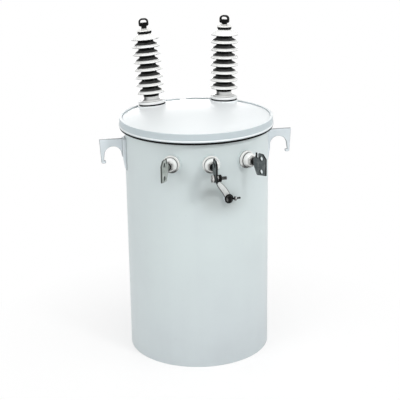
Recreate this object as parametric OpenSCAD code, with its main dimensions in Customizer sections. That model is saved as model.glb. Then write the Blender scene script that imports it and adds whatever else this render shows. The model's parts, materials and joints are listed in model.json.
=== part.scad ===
// Single-phase distribution transformer for pole mounting.
// The origin is on the tank's axis at the underside of the tank. +Z is up and the
// low-voltage terminals face -Y. Lengths are millimetres, angles are degrees.

/* [Tank] */
// Outer diameter of the tank
tank_d = 500; // [420:1:600]
// Thickness of the tank wall
tank_t = 3; // [2:0.5:6]
// Height of the tank wall
tank_h = 831; // [760:1:1000]
// Thickness of the bottom plate
bottom_t = 5; // [3:0.5:10]

/* [Cover] */
// Distance of the clamping band's outer face beyond the tank wall
band_out = 19; // [16:1:26]
// Height of the clamping band
band_h = 30; // [26:1:40]
// Thickness of the band's steel
band_t = 4; // [2:0.5:6]
// Gap between the band's two ends at the rear
band_split = 14; // [8:1:30]
// Thickness of the cover plate
cover_t = 3; // [2:0.5:5]
// Rise of the cover's dome above its rim
dome_rise = 26; // [16:1:30]
// Thickness of the rubber seal on the tank's top edge
seal_t = 6; // [3:0.5:10]

/* [High-voltage bushings] */
// Angle between the two bushings, seen from the tank's axis
hv_spread = 81.3; // [70:0.1:110]
// Distance of a bushing's seat inside the dome's edge
hv_edge = 6.2; // [4:0.2:30]
// Outward lean of the left bushing
hv_lean_left = 6; // [0:0.5:8]
// Outward lean of the right bushing
hv_lean_right = 2; // [0:0.5:8]
// Number of sheds on each bushing
shed_count = 8; // [4:1:12]
// Outer diameter of a shed
shed_d = 100; // [88:1:110]
// Distance from one shed to the next
shed_pitch = 27.2; // [25:0.2:34]
// Thickness of a shed at its rim
shed_rim_t = 5; // [3:0.5:8]
// Diameter of the porcelain between the sheds
hv_neck_d = 55; // [50:1:64]
// Diameter of the clamping flange at the bushing's foot
hv_flange_d = 97; // [94:1:104]

/* [Low-voltage bushings] */
// Distance of the low-voltage bushings' axes below the tank's top edge
lv_drop = 93; // [80:1:160]
// Angle between neighbouring low-voltage bushings
lv_step = 29.5; // [24:0.5:40]
// Diameter of the porcelain flange on the tank
lv_flange_d = 60; // [50:1:70]
// Thickness of a spade terminal
spade_t = 6; // [4:0.5:10]
// Distance between a spade's two holes
spade_pitch = 44.45; // [40:0.05:50]
// Diameter of a spade's holes
spade_hole_d = 14.3; // [13:0.1:16]

/* [Lifting lugs] */
// Thickness of a hook plate
lug_t = 8; // [5:0.5:14]
// Reach of a hook beyond the tank wall
lug_reach = 90; // [84:1:110]
// Distance of a hook's upper edge below the tank's top edge
lug_drop = 54; // [40:1:120]
// Radius of the arch that takes the sling
lug_arch_r = 30; // [24:1:33]

/* [Neutral ground] */
// Angle of the ground boss from the front
ground_angle = 13; // [10:0.5:20]
// Distance of the ground boss below the low-voltage bushings' axes
ground_drop = 123; // [100:1:140]
// Width of the ground strap
strap_w = 22; // [18:1:30]
// Thickness of the ground strap
strap_t = 3; // [2:0.5:4]

/* [Pole hangers] */
// Distance between the two hanger bolts
hanger_pitch = 285.75; // [200:0.05:400]
// Height of the lower hanger's bolt
hanger_low_z = 340; // [200:1:400]
// Distance from the tank wall to the face against the pole
hanger_standoff = 60; // [45:1:90]
// Width of a hanger
hanger_w = 96; // [80:1:130]
// Height of a hanger
hanger_h = 86; // [70:1:120]
// Thickness of a hanger's steel
hanger_t = 8; // [6:0.5:12]
// Width of the bolt slot
slot_w = 18; // [16:0.5:24]
// Length of the bolt slot, end to end
slot_len = 34; // [30:1:50]

/* [Hidden] */

$fn = 144;
// Overrun of every cut past the face it leaves
cut = 1;
// Play between curved faces that seat on each other
seat_gap = 0.2;
// Hexagon bolt heads and nuts
hex = 6;

// Colours
paint = [0.80, 0.83, 0.83];
porcelain = [0.93, 0.93, 0.91];
rubber = [0.05, 0.05, 0.05];
zinc = [0.35, 0.37, 0.37];
tinned = [0.75, 0.76, 0.74];

// Tank and cover
tank_r = tank_d / 2;
// Play round the bottom plate, where the weld runs
bottom_gap = 0.3;
band_r = tank_r + band_out;
rim_z = tank_h + seal_t;
cover_top_z = rim_z + cover_t;
band_top_z = cover_top_z + band_t;
band_low_z = band_top_z - band_h;
// Play between the band and the cover's skirt
skirt_gap = 2;
skirt_r = band_r - band_t - skirt_gap;
skirt_low_z = band_low_z + band_t + seat_gap;
// Width of the band's upper lip on the cover's rim
band_lip = 12;
// Radius of the band's rounded outer edge
band_edge_r = 4;
dome_r = skirt_r - 2 * cover_t;
dome_arc_r = (dome_r * dome_r + dome_rise * dome_rise) / (2 * dome_rise);
dome_centre_z = cover_top_z + dome_rise - dome_arc_r;
dome_steps = 24;
// Thickness of the seal's skirt on the tank wall
seal_leg_t = 4;
// Height of the seal's bead under the band
seal_bead_h = 8;
// Distance of the seal's bead inside the band's outer face
seal_bead_in = 2.5;
seal_low_z = band_low_z - seal_bead_h;
// Ears that draw the band's ends together
ear_t = 6;
ear_reach = 30;
ear_h = 20;
band_bolt_d = 10;
band_bolt_head_d = 16;
band_bolt_head_t = 7;

// High-voltage bushing, measured along its own axis from its seat
// Width of the seat's boss beyond the flange, and its least height above the dome
hv_seat_edge = 2;
hv_seat_lip = 1;
hv_seat_r = hv_flange_d / 2 + hv_seat_edge;
hv_r = dome_r - hv_seat_r - hv_edge;
hv_angle = 90 - hv_spread / 2;
hv_slope = asin(hv_r / dome_arc_r);
hv_gasket_t = 5.5;
hv_gasket_in = 1;
hv_flange_t = 8.5;
hv_flange_chamfer = 2;
// Shank of the porcelain inside the flange, and the foot that stands on it
hv_shank_d = 68;
hv_foot_d = 76;
hv_foot_t = 2;
hv_foot_h = 8;
hv_first_shed = 42;
shed_slope = 30;
// Rise of a shed's underside towards the neck
shed_hollow = 3;
shed_rim_steps = 6;
hv_top_d = 44;
// Height of the porcelain's top above the upper shed
hv_top_rise = 2;
hv_cap_gasket_d = 50;
hv_cap_gasket_t = 9;
hv_cap_d = 54;
hv_cap_edge_t = 3;
hv_cap_h = 9;
hv_nut_af = 18;
// Nut under each eye: the right eye is screwed further down
left_nut_t = 8;
right_nut_t = 4;
// The eye: a flattened loop with a block below its opening
eye_w = 34;
eye_h = 27.5;
eye_t = 14;
eye_bar = 4.5;
eye_block = 7;
eye_round = 8;
eye_neck_d = 11;
// The pad on the block, and its play in the opening
pad_h = 3.5;
pad_gap = 0.25;
// Angle of each eye's hole from the front
left_eye_angle = -15;
right_eye_angle = -30;
hv_flange_z = hv_gasket_t;
hv_foot_z = hv_flange_z + hv_flange_t;
shed_h = shed_rim_t + (shed_d - hv_neck_d) / 2 * tan(shed_slope);
hv_top_z = hv_first_shed + (shed_count - 1) * shed_pitch + shed_h + hv_top_rise;
hv_cap_z = hv_top_z + hv_cap_gasket_t;
hv_nut_z = hv_cap_z + hv_cap_h;

// Low-voltage bushing, measured outwards from the tank wall
lv_z = tank_h - lv_drop;
lv_seat_h = 4;
lv_seat_edge = 1.5;
lv_seat_r = lv_flange_d / 2 + lv_seat_edge;
// Depth of the seat's boss into the wall
lv_seat_sink = 3;
lv_gasket_t = 2;
lv_gasket_in = 1;
lv_flange_t = 8;
lv_groove_d = 44;
lv_groove_w = 3;
lv_body_d = 48;
lv_body_t = 12;
lv_nose_d = 38;
lv_nose_t = 4;
lv_round = 2;
lv_nut_af = 30;
lv_nut_t = 8;
lv_stud_d = 18;
lv_body_z = lv_seat_h + lv_gasket_t + lv_flange_t + lv_groove_w;
lv_nut_z = lv_body_z + lv_body_t + lv_nose_t;
lv_spade_z = lv_nut_z + lv_nut_t;
// Outline of a spade: its neck, its pad and the notch in its upper edge
spade_neck_h = 22;
spade_neck_len = 3;
spade_flare = 16;
spade_shoulder = 6;
spade_pad_w = 43;
spade_pad_h = 76;
// Drop of a spade's pad below its bushing's axis
spade_drop = 5;
spade_corner_cut = 15;
spade_foot_rise = 5;
spade_round = 5;
spade_hole_in = 22;
notch_w = 8;
notch_depth = 17;
notch_in = 5;
spade_neck_z = lv_spade_z;
spade_pad_z = spade_neck_z + spade_neck_len + spade_flare;
spade_end_z = spade_pad_z + spade_pad_w;
spade_hole_z = spade_end_z - spade_hole_in;

// Neutral bolt, strap and ground boss
ground_z = lv_z - ground_drop;
neutral_bolt_d = 12;
bolt_af = 22;
bolt_head_t = 9;
bolt_nut_t = 10;
washer_d = 26;
washer_t = 2.5;
bolt_tail = 20;
// Radius of the flat tabs at the strap's ends, round the bolts
strap_tab = 14;
strap_steps = 22;
strap_hole_gap = 0.6;
// Lean of the strap's upper tab from the vertical, towards the tank
strap_tilt = 45;
// Lean of the strap's lower tab from the vertical, to the right
strap_lean = 25;
// Pull of the strap's curve along its first and last direction
strap_pull_top = 18;
strap_pull_low = 36;
boss_d = 30;
boss_h = 10;
ground_bolt_d = 12;
clamp_washer_d = 32;
clamp_d = 24;
clamp_t = 12;
clamp_screw_d = 7;
clamp_screw_len = 38;
clamp_head_d = 13;
clamp_head_t = 6;
// Distance of the screw's head beyond the washer's edge
clamp_head_out = 1;

// Lifting lugs
lug_top_z = tank_h - lug_drop;
lug_pad_w = 44;
lug_pad_h = 108;
lug_pad_t = 10;
// Height over which the pad thins out at its lower end, and its thickness there
lug_pad_taper = 46;
lug_pad_foot = 3;
lug_arch_in = 44;
lug_arch_drop = 57;
lug_tip_drop = 86;
lug_tip_w = 16;
lug_tip_r = 5;
lug_leg_taper = 5;
lug_root_h = 66;
lug_corner_r = 5;
lug_end_r = tank_r + lug_reach;
lug_root_r = tank_r + lug_pad_t;

// Helpers for outlines

function unit(v) = v / norm(v);

// The arc that rounds the corner at b, between its neighbours a and c
function corner_arc(a, b, c, r, steps) =
    let (
        u = unit(a - b),
        v = unit(c - b),
        half = acos(u * v) / 2,
        centre = b + unit(u + v) * r / sin(half),
        start = b + u * r / tan(half) - centre,
        end = b + v * r / tan(half) - centre,
        from = atan2(start.y, start.x),
        raw = atan2(end.y, end.x) - from,
        turn = raw > 180 ? raw - 360 : raw < -180 ? raw + 360 : raw
    )
    [for (i = [0 : steps]) centre + r * [cos(from + turn * i / steps), sin(from + turn * i / steps)]];

// A closed outline with each corner rounded by its own radius
function rounded(points, radii, steps = 6) =
    let (n = len(points))
    [
        for (i = [0 : n - 1])
            each radii[i] > 0
                ? corner_arc(points[(i + n - 1) % n], points[i], points[(i + 1) % n], radii[i], steps)
                : [points[i]]
    ];

// Height of the dome's upper face at a distance from the tank's axis
function dome_z(r) = dome_centre_z + sqrt(dome_arc_r * dome_arc_r - r * r);

// The dome's upper face from its rim to the axis, lowered by a thickness
function dome_line(thickness) = [
    for (i = [0 : dome_steps])
        let (r = dome_r * (1 - i / dome_steps))
        [r, dome_z(r) - thickness]
];

module ring(outer_r, inner_r, height) {
    difference() {
        cylinder(r = outer_r, h = height);
        translate([0, 0, -cut]) cylinder(r = inner_r, h = height + 2 * cut);
    }
}

// A hexagon prism with its width across flats
module hexagon(across_flats, height) {
    cylinder(d = across_flats / cos(180 / hex), h = height, $fn = hex);
}

// Places its children on the tank wall: x to the right, y up, z outwards
module on_wall(angle, z) {
    rotate([0, 0, angle]) translate([0, -tank_r, z]) rotate([90, 0, 0]) children();
}

// Tank

module tank_wall() {
    color(paint) difference() {
        union() {
            cylinder(d = tank_d, h = tank_h);
            for (i = [-1 : 1])
                on_wall(i * lv_step, lv_z)
                    translate([0, 0, -lv_seat_sink])
                        cylinder(r = lv_seat_r, h = lv_seat_sink + lv_seat_h);
        }
        translate([0, 0, -cut]) cylinder(r = tank_r - tank_t, h = tank_h + 2 * cut);
    }
}

module tank_bottom() {
    color(paint) cylinder(r = tank_r - tank_t - bottom_gap, h = bottom_t);
}

// Cover, its seal and its clamping band

module cover() {
    color(paint) {
        rotate_extrude()
            polygon(concat(
                dome_line(0),
                [for (i = [dome_steps : -1 : 0]) dome_line(cover_t)[i]],
                [
                    [skirt_r - cover_t, rim_z],
                    [skirt_r - cover_t, skirt_low_z],
                    [skirt_r, skirt_low_z],
                    [skirt_r, cover_top_z]
                ]
            ));
        for (side = [-1, 1])
            hv_place(side)
                translate([0, 0, -hv_seat_h(side)])
                    cylinder(r = hv_seat_r, h = hv_seat_h(side));
    }
}

module cover_seal() {
    inner = tank_r + seat_gap;
    color(rubber) rotate_extrude()
        polygon([
            [tank_r - tank_t, tank_h],
            [inner, tank_h],
            [inner, seal_low_z],
            [band_r - seal_bead_in, seal_low_z],
            [band_r - seal_bead_in, seal_low_z + seal_bead_h - seat_gap],
            [inner + seal_leg_t, seal_low_z + seal_bead_h],
            [inner + seal_leg_t, rim_z],
            [tank_r - tank_t, rim_z]
        ]);
}

// Places its children at the split in the band, at the rear
module on_band_split() {
    translate([0, band_r, band_low_z + ear_h / 2]) children();
}

module cover_band() {
    color(paint) difference() {
        union() {
            rotate_extrude()
                polygon(rounded(
                    [
                        [band_r - band_lip, cover_top_z],
                        [band_r - band_t, cover_top_z],
                        [band_r - band_t, band_low_z + band_t],
                        [skirt_r - cover_t, band_low_z + band_t],
                        [skirt_r - cover_t, band_low_z],
                        [band_r, band_low_z],
                        [band_r, band_top_z],
                        [band_r - band_lip, band_top_z]
                    ],
                    [0, 0, 0, 0, 0, band_edge_r / 2, band_edge_r, 0]
                ));
            on_band_split()
                for (side = [-1, 1])
                    translate([side * (band_split + ear_t) / 2, (ear_reach - band_t) / 2, 0])
                        cube([ear_t, ear_reach + band_t, ear_h], center = true);
        }
        on_band_split() cube([band_split, 2 * ear_reach, 3 * band_h], center = true);
        on_band_split()
            translate([0, ear_reach / 2, 0])
                rotate([0, 90, 0])
                    cylinder(
                        d = band_bolt_d + 2 * seat_gap,
                        h = band_split + 2 * ear_t + 2 * cut,
                        center = true
                    );
    }
}

module band_bolt() {
    grip = band_split + 2 * ear_t;
    color(zinc) on_band_split()
        translate([-grip / 2, ear_reach / 2, 0])
            rotate([0, 90, 0]) {
                cylinder(d = band_bolt_d, h = grip + band_bolt_head_t + band_bolt_d / 2);
                translate([0, 0, -band_bolt_head_t]) hexagon(band_bolt_head_d, band_bolt_head_t);
                translate([0, 0, grip]) hexagon(band_bolt_head_d, band_bolt_head_t);
            }
}

// High-voltage bushings

// Direction in which a bushing leans, outwards from the tank's axis
function hv_turn(side) = side < 0 ? 180 - hv_angle : hv_angle;

function nut_t(side) = side < 0 ? left_nut_t : right_nut_t;

function eye_z(side) = hv_nut_z + nut_t(side);
function hv_lean(side) = side < 0 ? hv_lean_left : hv_lean_right;

// Height of a seat's middle above the dome, and of its boss down into the cover plate
function hv_seat_rise(side) = hv_seat_lip + hv_seat_r * tan(hv_slope - hv_lean(side));
function hv_seat_h(side) = 2 * hv_seat_rise(side) - hv_seat_lip + cover_t;

// Places its children on a bushing's seat, with z along the bushing
module hv_place(side) {
    rotate([0, 0, hv_turn(side)])
        translate([hv_r, 0, dome_z(hv_r) + hv_seat_rise(side)])
            rotate([0, hv_lean(side), 0]) children();
}

module hv_gasket(side) {
    color(rubber) hv_place(side) cylinder(d = hv_flange_d - 2 * hv_gasket_in, h = hv_gasket_t);
}

module hv_flange(side) {
    outer = hv_flange_d / 2;
    inner = hv_shank_d / 2 + seat_gap;
    color(paint) hv_place(side)
        rotate_extrude()
            polygon([
                [inner, hv_flange_z],
                [outer, hv_flange_z],
                [outer, hv_foot_z - hv_flange_chamfer],
                [outer - hv_flange_chamfer, hv_foot_z],
                [inner, hv_foot_z]
            ]);
}

// One shed from its underside to the neck above it
function shed_line(z) =
    let (
        neck = hv_neck_d / 2,
        rim_r = shed_rim_t / 2,
        rim_x = shed_d / 2 - rim_r,
        rim_z = z + rim_r,
        cone_r = rim_x + rim_r * sin(shed_slope),
        cone_z = rim_z + rim_r * cos(shed_slope)
    )
    concat(
        [[neck, z + shed_hollow]],
        [
            for (i = [0 : shed_rim_steps])
                let (a = -90 + (180 - shed_slope) * i / shed_rim_steps)
                [rim_x + rim_r * cos(a), rim_z + rim_r * sin(a)]
        ],
        [[neck, cone_z + (cone_r - neck) * tan(shed_slope)]]
    );

module hv_porcelain(side) {
    color(porcelain) hv_place(side)
        rotate_extrude()
            polygon(concat(
                [
                    [0, hv_flange_z],
                    [hv_shank_d / 2, hv_flange_z],
                    [hv_shank_d / 2, hv_foot_z],
                    [hv_foot_d / 2, hv_foot_z],
                    [hv_foot_d / 2, hv_foot_z + hv_foot_t],
                    [hv_neck_d / 2, hv_foot_z + hv_foot_h]
                ],
                [for (i = [0 : shed_count - 1]) each shed_line(hv_first_shed + i * shed_pitch)],
                [[hv_top_d / 2, hv_top_z], [0, hv_top_z]]
            ));
}

module hv_cap_gasket(side) {
    color(rubber) hv_place(side)
        translate([0, 0, hv_top_z]) cylinder(d = hv_cap_gasket_d, h = hv_cap_gasket_t);
}

module hv_cap(side) {
    color(tinned) hv_place(side)
        translate([0, 0, hv_cap_z]) {
            cylinder(d = hv_cap_d, h = hv_cap_edge_t);
            translate([0, 0, hv_cap_edge_t])
                cylinder(d1 = hv_cap_d, d2 = hv_nut_af / cos(180 / hex), h = hv_cap_h - hv_cap_edge_t);
        }
}

module hv_nut(side) {
    color(zinc) hv_place(side)
        translate([0, 0, hv_nut_z])
            difference() {
                hexagon(hv_nut_af, nut_t(side));
                translate([0, 0, -cut])
                    cylinder(d = eye_neck_d + 2 * seat_gap, h = nut_t(side) + 2 * cut);
            }
}

// Places its children at an eye's foot: x across the eye, y up and z along its opening
module eye_place(side) {
    turn = side < 0 ? left_eye_angle : right_eye_angle;
    hv_place(side) translate([0, 0, eye_z(side)]) rotate([90, 0, turn - hv_turn(side)]) children();
}

// The opening of an eye, down to a height
module eye_opening(low, gap) {
    half = eye_w / 2 - eye_bar - gap;
    r = eye_round - eye_bar;
    polygon(rounded(
        [[-half, low], [half, low], [half, eye_h - eye_bar], [-half, eye_h - eye_bar]],
        [r / 2, r / 2, r, r]
    ));
}

module hv_eyebolt(side) {
    half = eye_w / 2;
    color(zinc) {
        eye_place(side)
            linear_extrude(eye_t, center = true)
                difference() {
                    polygon(rounded(
                        [[-half, 0], [half, 0], [half, eye_h], [-half, eye_h]],
                        [eye_block / 2, eye_block / 2, eye_round, eye_round]
                    ));
                    eye_opening(eye_block, 0);
                }
        hv_place(side)
            translate([0, 0, hv_nut_z]) cylinder(d = eye_neck_d, h = nut_t(side) + eye_block / 2);
    }
}

// The pad that a wire is clamped against, on the block below the eye's opening
module hv_pressure_pad(side) {
    color(zinc) eye_place(side)
        linear_extrude(eye_t, center = true)
            difference() {
                eye_opening(eye_block, pad_gap);
                translate([-eye_w, eye_block + pad_h]) square([2 * eye_w, eye_h]);
            }
}

// Low-voltage bushings

module lv_gasket(i) {
    color(rubber) on_wall(i * lv_step, lv_z)
        translate([0, 0, lv_seat_h]) cylinder(r = lv_flange_d / 2 - lv_gasket_in, h = lv_gasket_t);
}

module lv_porcelain(i) {
    foot = lv_seat_h + lv_gasket_t;
    color(porcelain) on_wall(i * lv_step, lv_z)
        rotate_extrude()
            polygon(rounded(
                [
                    [0, foot],
                    [lv_flange_d / 2, foot],
                    [lv_flange_d / 2, foot + lv_flange_t],
                    [lv_groove_d / 2, foot + lv_flange_t],
                    [lv_groove_d / 2, lv_body_z],
                    [lv_body_d / 2, lv_body_z],
                    [lv_body_d / 2, lv_body_z + lv_body_t],
                    [lv_nose_d / 2, lv_nut_z],
                    [0, lv_nut_z]
                ],
                [0, 0, lv_round, 0, 0, lv_round / 2, lv_round, lv_round / 2, 0]
            ));
}

module lv_nut(i) {
    color(zinc) on_wall(i * lv_step, lv_z)
        translate([0, 0, lv_nut_z])
            difference() {
                hexagon(lv_nut_af, lv_nut_t);
                translate([0, 0, -cut])
                    cylinder(d = lv_stud_d + 2 * seat_gap, h = lv_nut_t + 2 * cut);
            }
}

// The spade's outline: x runs outwards from the tank wall and y upwards
module spade_outline() {
    top = spade_pad_h / 2 - spade_drop;
    low = top - spade_pad_h;
    neck = spade_neck_h / 2;
    shoulder = spade_pad_z - spade_shoulder;
    r = spade_round;
    difference() {
        polygon(rounded(
            [
                [spade_neck_z, neck],
                [spade_neck_z, -neck],
                [spade_neck_z + spade_neck_len, -neck],
                [spade_pad_z, low],
                [spade_end_z, low + spade_foot_rise],
                [spade_end_z, top - spade_corner_cut],
                [spade_end_z - spade_corner_cut, top],
                [shoulder, top],
                [shoulder, 2 * neck],
                [spade_neck_z + spade_neck_len, neck]
            ],
            [0, 0, r, r, r / 2, r / 2, r / 2, r / 4, r / 2, r / 2]
        ));
        translate([shoulder + notch_in, top - notch_depth])
            square([notch_w, notch_depth + cut]);
        for (side = [-1, 1])
            translate([spade_hole_z, side * spade_pitch / 2 - spade_drop]) circle(d = spade_hole_d);
    }
}

module lv_spade(i) {
    color(zinc) on_wall(i * lv_step, lv_z) {
        translate([0, 0, lv_nut_z])
            cylinder(d = lv_stud_d, h = lv_nut_t + spade_neck_len);
        rotate([0, -90, 0])
            linear_extrude(spade_t, center = true) spade_outline();
    }
}

// Neutral bolt, ground strap and ground boss

neutral_hole = [0, -tank_r - spade_hole_z, lv_z - spade_drop - spade_pitch / 2];
strap_x = spade_t / 2 + strap_t / 2;
ground_out = [sin(ground_angle), -cos(ground_angle), 0];
ground_right = [cos(ground_angle), sin(ground_angle), 0];
ground_seat = ground_out * (tank_r + boss_h) + [0, 0, ground_z];
strap_start_way = [0, sin(strap_tilt), -cos(strap_tilt)];
strap_end_way = ground_right * sin(strap_lean) - [0, 0, cos(strap_lean)];
strap_top = neutral_hole + [strap_x, 0, 0];
strap_low = ground_seat + ground_out * strap_t / 2;
strap_bend_top = strap_top + strap_start_way * strap_tab;
strap_bend_low = strap_low - strap_end_way * strap_tab;

function bezier(a, b, c, d, t) =
    a * pow(1 - t, 3) + b * 3 * t * pow(1 - t, 2) + c * 3 * t * t * (1 - t) + d * pow(t, 3);

function smooth(t) = t * t * (3 - 2 * t);

// Centre line of the strap: a straight tab, a curve, and a straight tab
strap_line = concat(
    [strap_top - strap_start_way * strap_tab],
    [
        for (i = [0 : strap_steps])
            bezier(
                strap_bend_top,
                strap_bend_top + strap_start_way * strap_pull_top,
                strap_bend_low - strap_end_way * strap_pull_low,
                strap_bend_low,
                i / strap_steps
            )
    ],
    [strap_low + strap_end_way * strap_tab]
);
strap_last = len(strap_line) - 1;

// Direction of the strap and the way its face looks, at a point of its line
function strap_way(i) = unit(strap_line[min(i + 1, strap_last)] - strap_line[max(i - 1, 0)]);
function strap_turn(i) = smooth(min(max((i - 1) / strap_steps, 0), 1));
function strap_face(i) =
    let (
        way = i <= 1 ? strap_start_way : i >= strap_last - 1 ? strap_end_way : strap_way(i),
        look = [1, 0, 0] * (1 - strap_turn(i)) + ground_out * strap_turn(i)
    )
    unit(look - way * (look * way));
function strap_side(i) =
    let (way = i <= 1 ? strap_start_way : i >= strap_last - 1 ? strap_end_way : strap_way(i))
    cross(way, strap_face(i));

// The four corners of the strap's section at a point of its line
function strap_section(i) =
    let (s = strap_side(i) * strap_w / 2, f = strap_face(i) * strap_t / 2)
    [
        strap_line[i] + s + f,
        strap_line[i] - s + f,
        strap_line[i] - s - f,
        strap_line[i] + s - f
    ];

module ground_strap() {
    points = [for (i = [0 : strap_last]) each strap_section(i)];
    count = len(strap_section(0));
    sides = [
        for (i = [0 : strap_last - 1], k = [0 : count - 1])
            let (a = i * count + k, b = i * count + (k + 1) % count)
            each [[a, b, b + count], [a, b + count, a + count]]
    ];
    low_end = [for (k = [count - 1 : -1 : 0]) k];
    high_end = [for (k = [0 : count - 1]) strap_last * count + k];
    color(tinned) difference() {
        polyhedron(points, concat(sides, [low_end, high_end]));
        translate(neutral_hole)
            rotate([0, 90, 0])
                cylinder(d = neutral_bolt_d + 2 * strap_hole_gap, h = 2 * strap_tab);
        on_wall(ground_angle, ground_z)
            cylinder(d = ground_bolt_d + 2 * strap_hole_gap, h = boss_h + strap_tab);
    }
}

module neutral_bolt() {
    left = spade_t / 2 + washer_t;
    right = spade_t / 2 + strap_t;
    color(zinc) translate(neutral_hole)
        rotate([0, 90, 0]) {
            translate([0, 0, -left - bolt_head_t]) hexagon(bolt_af, bolt_head_t);
            translate([0, 0, -left]) cylinder(d = washer_d, h = washer_t);
            translate([0, 0, -left]) cylinder(d = neutral_bolt_d, h = left + right + bolt_nut_t + bolt_tail);
            translate([0, 0, right]) cylinder(d = washer_d, h = washer_t);
            translate([0, 0, right + washer_t]) hexagon(bolt_af, bolt_nut_t);
        }
}

module ground_boss() {
    color(paint) difference() {
        on_wall(ground_angle, ground_z)
            translate([0, 0, -lv_seat_sink]) cylinder(d = boss_d, h = boss_h + lv_seat_sink);
        cylinder(r = tank_r + seat_gap, h = tank_h);
    }
}

// Bolt of the ground boss, whose head is a clamp with its screw to the right
module ground_bolt() {
    color(zinc) on_wall(ground_angle, ground_z)
        translate([0, 0, boss_h + strap_t]) {
            cylinder(d = clamp_washer_d, h = washer_t);
            difference() {
                cylinder(d = clamp_d, h = washer_t + clamp_t);
                translate([0, 0, washer_t + clamp_t / 2])
                    rotate([90, 0, 0])
                        cylinder(d = clamp_t / 2, h = clamp_d + 2 * cut, center = true);
            }
            translate([0, 0, washer_t + clamp_t / 2])
                rotate([0, 90, 0]) {
                    translate([0, 0, clamp_d / 4])
                        cylinder(d = clamp_screw_d, h = clamp_screw_len - clamp_d / 4);
                    translate([0, 0, clamp_washer_d / 2 + clamp_head_out])
                        hexagon(clamp_head_d, clamp_head_t);
                }
        }
}

// Lifting lugs

// A hook's outline: x runs outwards from the tank's axis and y upwards
module lug_outline() {
    arch = [tank_r + lug_arch_in, lug_top_z - lug_arch_drop];
    tip_z = lug_top_z - lug_tip_drop;
    leg_r = lug_end_r - lug_leg_taper;
    r = lug_corner_r;
    difference() {
        polygon(rounded(
            [
                [lug_root_r, lug_top_z],
                [lug_root_r, lug_top_z - lug_root_h],
                [arch.x - lug_arch_r, arch.y],
                [arch.x + lug_arch_r, arch.y],
                [leg_r - lug_tip_w / 2, tip_z + 2 * lug_tip_r],
                [leg_r - lug_tip_w, tip_z + 2 * lug_tip_r],
                [leg_r - lug_tip_w, tip_z],
                [leg_r, tip_z],
                [lug_end_r, lug_top_z - lug_corner_r],
                [lug_end_r, lug_top_z]
            ],
            [0, 0, 0, 0, r / 4, lug_tip_r / 2, lug_tip_r, lug_tip_r, 0, r / 2]
        ));
        translate(arch) circle(r = lug_arch_r);
    }
}

module lifting_lug(side) {
    color(paint) rotate([90, 0, side < 0 ? 180 : 0])
        linear_extrude(lug_t, center = true) lug_outline();
}

// A pad between the tank wall and a hook, thinner towards its foot
module lug_pad(side) {
    foot_z = lug_top_z - lug_pad_h;
    color(paint) difference() {
        rotate([90, 0, side < 0 ? 180 : 0])
            linear_extrude(lug_pad_w, center = true)
                polygon([
                    [tank_r - lug_pad_t, foot_z],
                    [tank_r + lug_pad_foot, foot_z],
                    [lug_root_r, foot_z + lug_pad_taper],
                    [lug_root_r, lug_top_z],
                    [tank_r - lug_pad_t, lug_top_z]
                ]);
        cylinder(r = tank_r + seat_gap, h = tank_h);
    }
}

// Pole hangers

module slot_cutter() {
    run = slot_len - slot_w;
    rotate([90, 0, 0]) {
        for (side = [-1, 1])
            translate([0, side * run / 2, 0]) cylinder(d = slot_w, h = 2 * hanger_standoff, center = true);
        cube([slot_w, run, 2 * hanger_standoff], center = true);
    }
}

module hanger(z) {
    depth = hanger_standoff + tank_r;
    inner_w = hanger_w - 2 * hanger_t;
    color(paint) difference() {
        translate([-hanger_w / 2, 0, z - hanger_h / 2]) cube([hanger_w, depth, hanger_h]);
        translate([-inner_w / 2, -cut, z - hanger_h / 2 - cut])
            cube([inner_w, depth - hanger_t + cut, hanger_h + 2 * cut]);
        cylinder(r = tank_r + seat_gap, h = tank_h);
        translate([0, depth, z]) slot_cutter();
    }
}

tank_wall();
tank_bottom();
cover();
cover_seal();
cover_band();
band_bolt();
hv_gasket(-1);  // left_hv_gasket
hv_flange(-1);  // left_hv_flange
hv_porcelain(-1);  // left_hv_porcelain
hv_cap_gasket(-1);  // left_hv_cap_gasket
hv_cap(-1);  // left_hv_cap
hv_nut(-1);  // left_hv_nut
hv_eyebolt(-1);  // left_hv_eyebolt
hv_pressure_pad(-1);  // left_hv_pressure_pad
hv_gasket(1);  // right_hv_gasket
hv_flange(1);  // right_hv_flange
hv_porcelain(1);  // right_hv_porcelain
hv_cap_gasket(1);  // right_hv_cap_gasket
hv_cap(1);  // right_hv_cap
hv_nut(1);  // right_hv_nut
hv_eyebolt(1);  // right_hv_eyebolt
hv_pressure_pad(1);  // right_hv_pressure_pad
lv_gasket(-1);  // left_lv_gasket
lv_porcelain(-1);  // left_lv_porcelain
lv_nut(-1);  // left_lv_nut
lv_spade(-1);  // left_lv_spade
lv_gasket(0);  // neutral_lv_gasket
lv_porcelain(0);  // neutral_lv_porcelain
lv_nut(0);  // neutral_lv_nut
lv_spade(0);  // neutral_lv_spade
lv_gasket(1);  // right_lv_gasket
lv_porcelain(1);  // right_lv_porcelain
lv_nut(1);  // right_lv_nut
lv_spade(1);  // right_lv_spade
neutral_bolt();
ground_strap();
ground_boss();
ground_bolt();
lifting_lug(-1);  // left_lifting_lug
lug_pad(-1);  // left_lug_pad
lifting_lug(1);  // right_lifting_lug
lug_pad(1);  // right_lug_pad
hanger(hanger_low_z + hanger_pitch);  // upper_hanger
hanger(hanger_low_z);  // lower_hanger
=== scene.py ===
# %% [markdown]
# # Dressing a pole mounted transformer
#
# The object is a round steel tank with a domed cover, two tall porcelain bushings for the high
# voltage, three short ones for the low voltage, and the hooks and hangers that lift it and hold it
# on its pole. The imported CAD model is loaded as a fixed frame. Each visible piece is then either a
# CAD node with a better finish, or a finer surface that stands in the node's place.

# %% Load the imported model
import json
import bmesh
import bpy
import numpy as np
from mathutils import Matrix, Vector
from mathutils.geometry import tessellate_polygon


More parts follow.
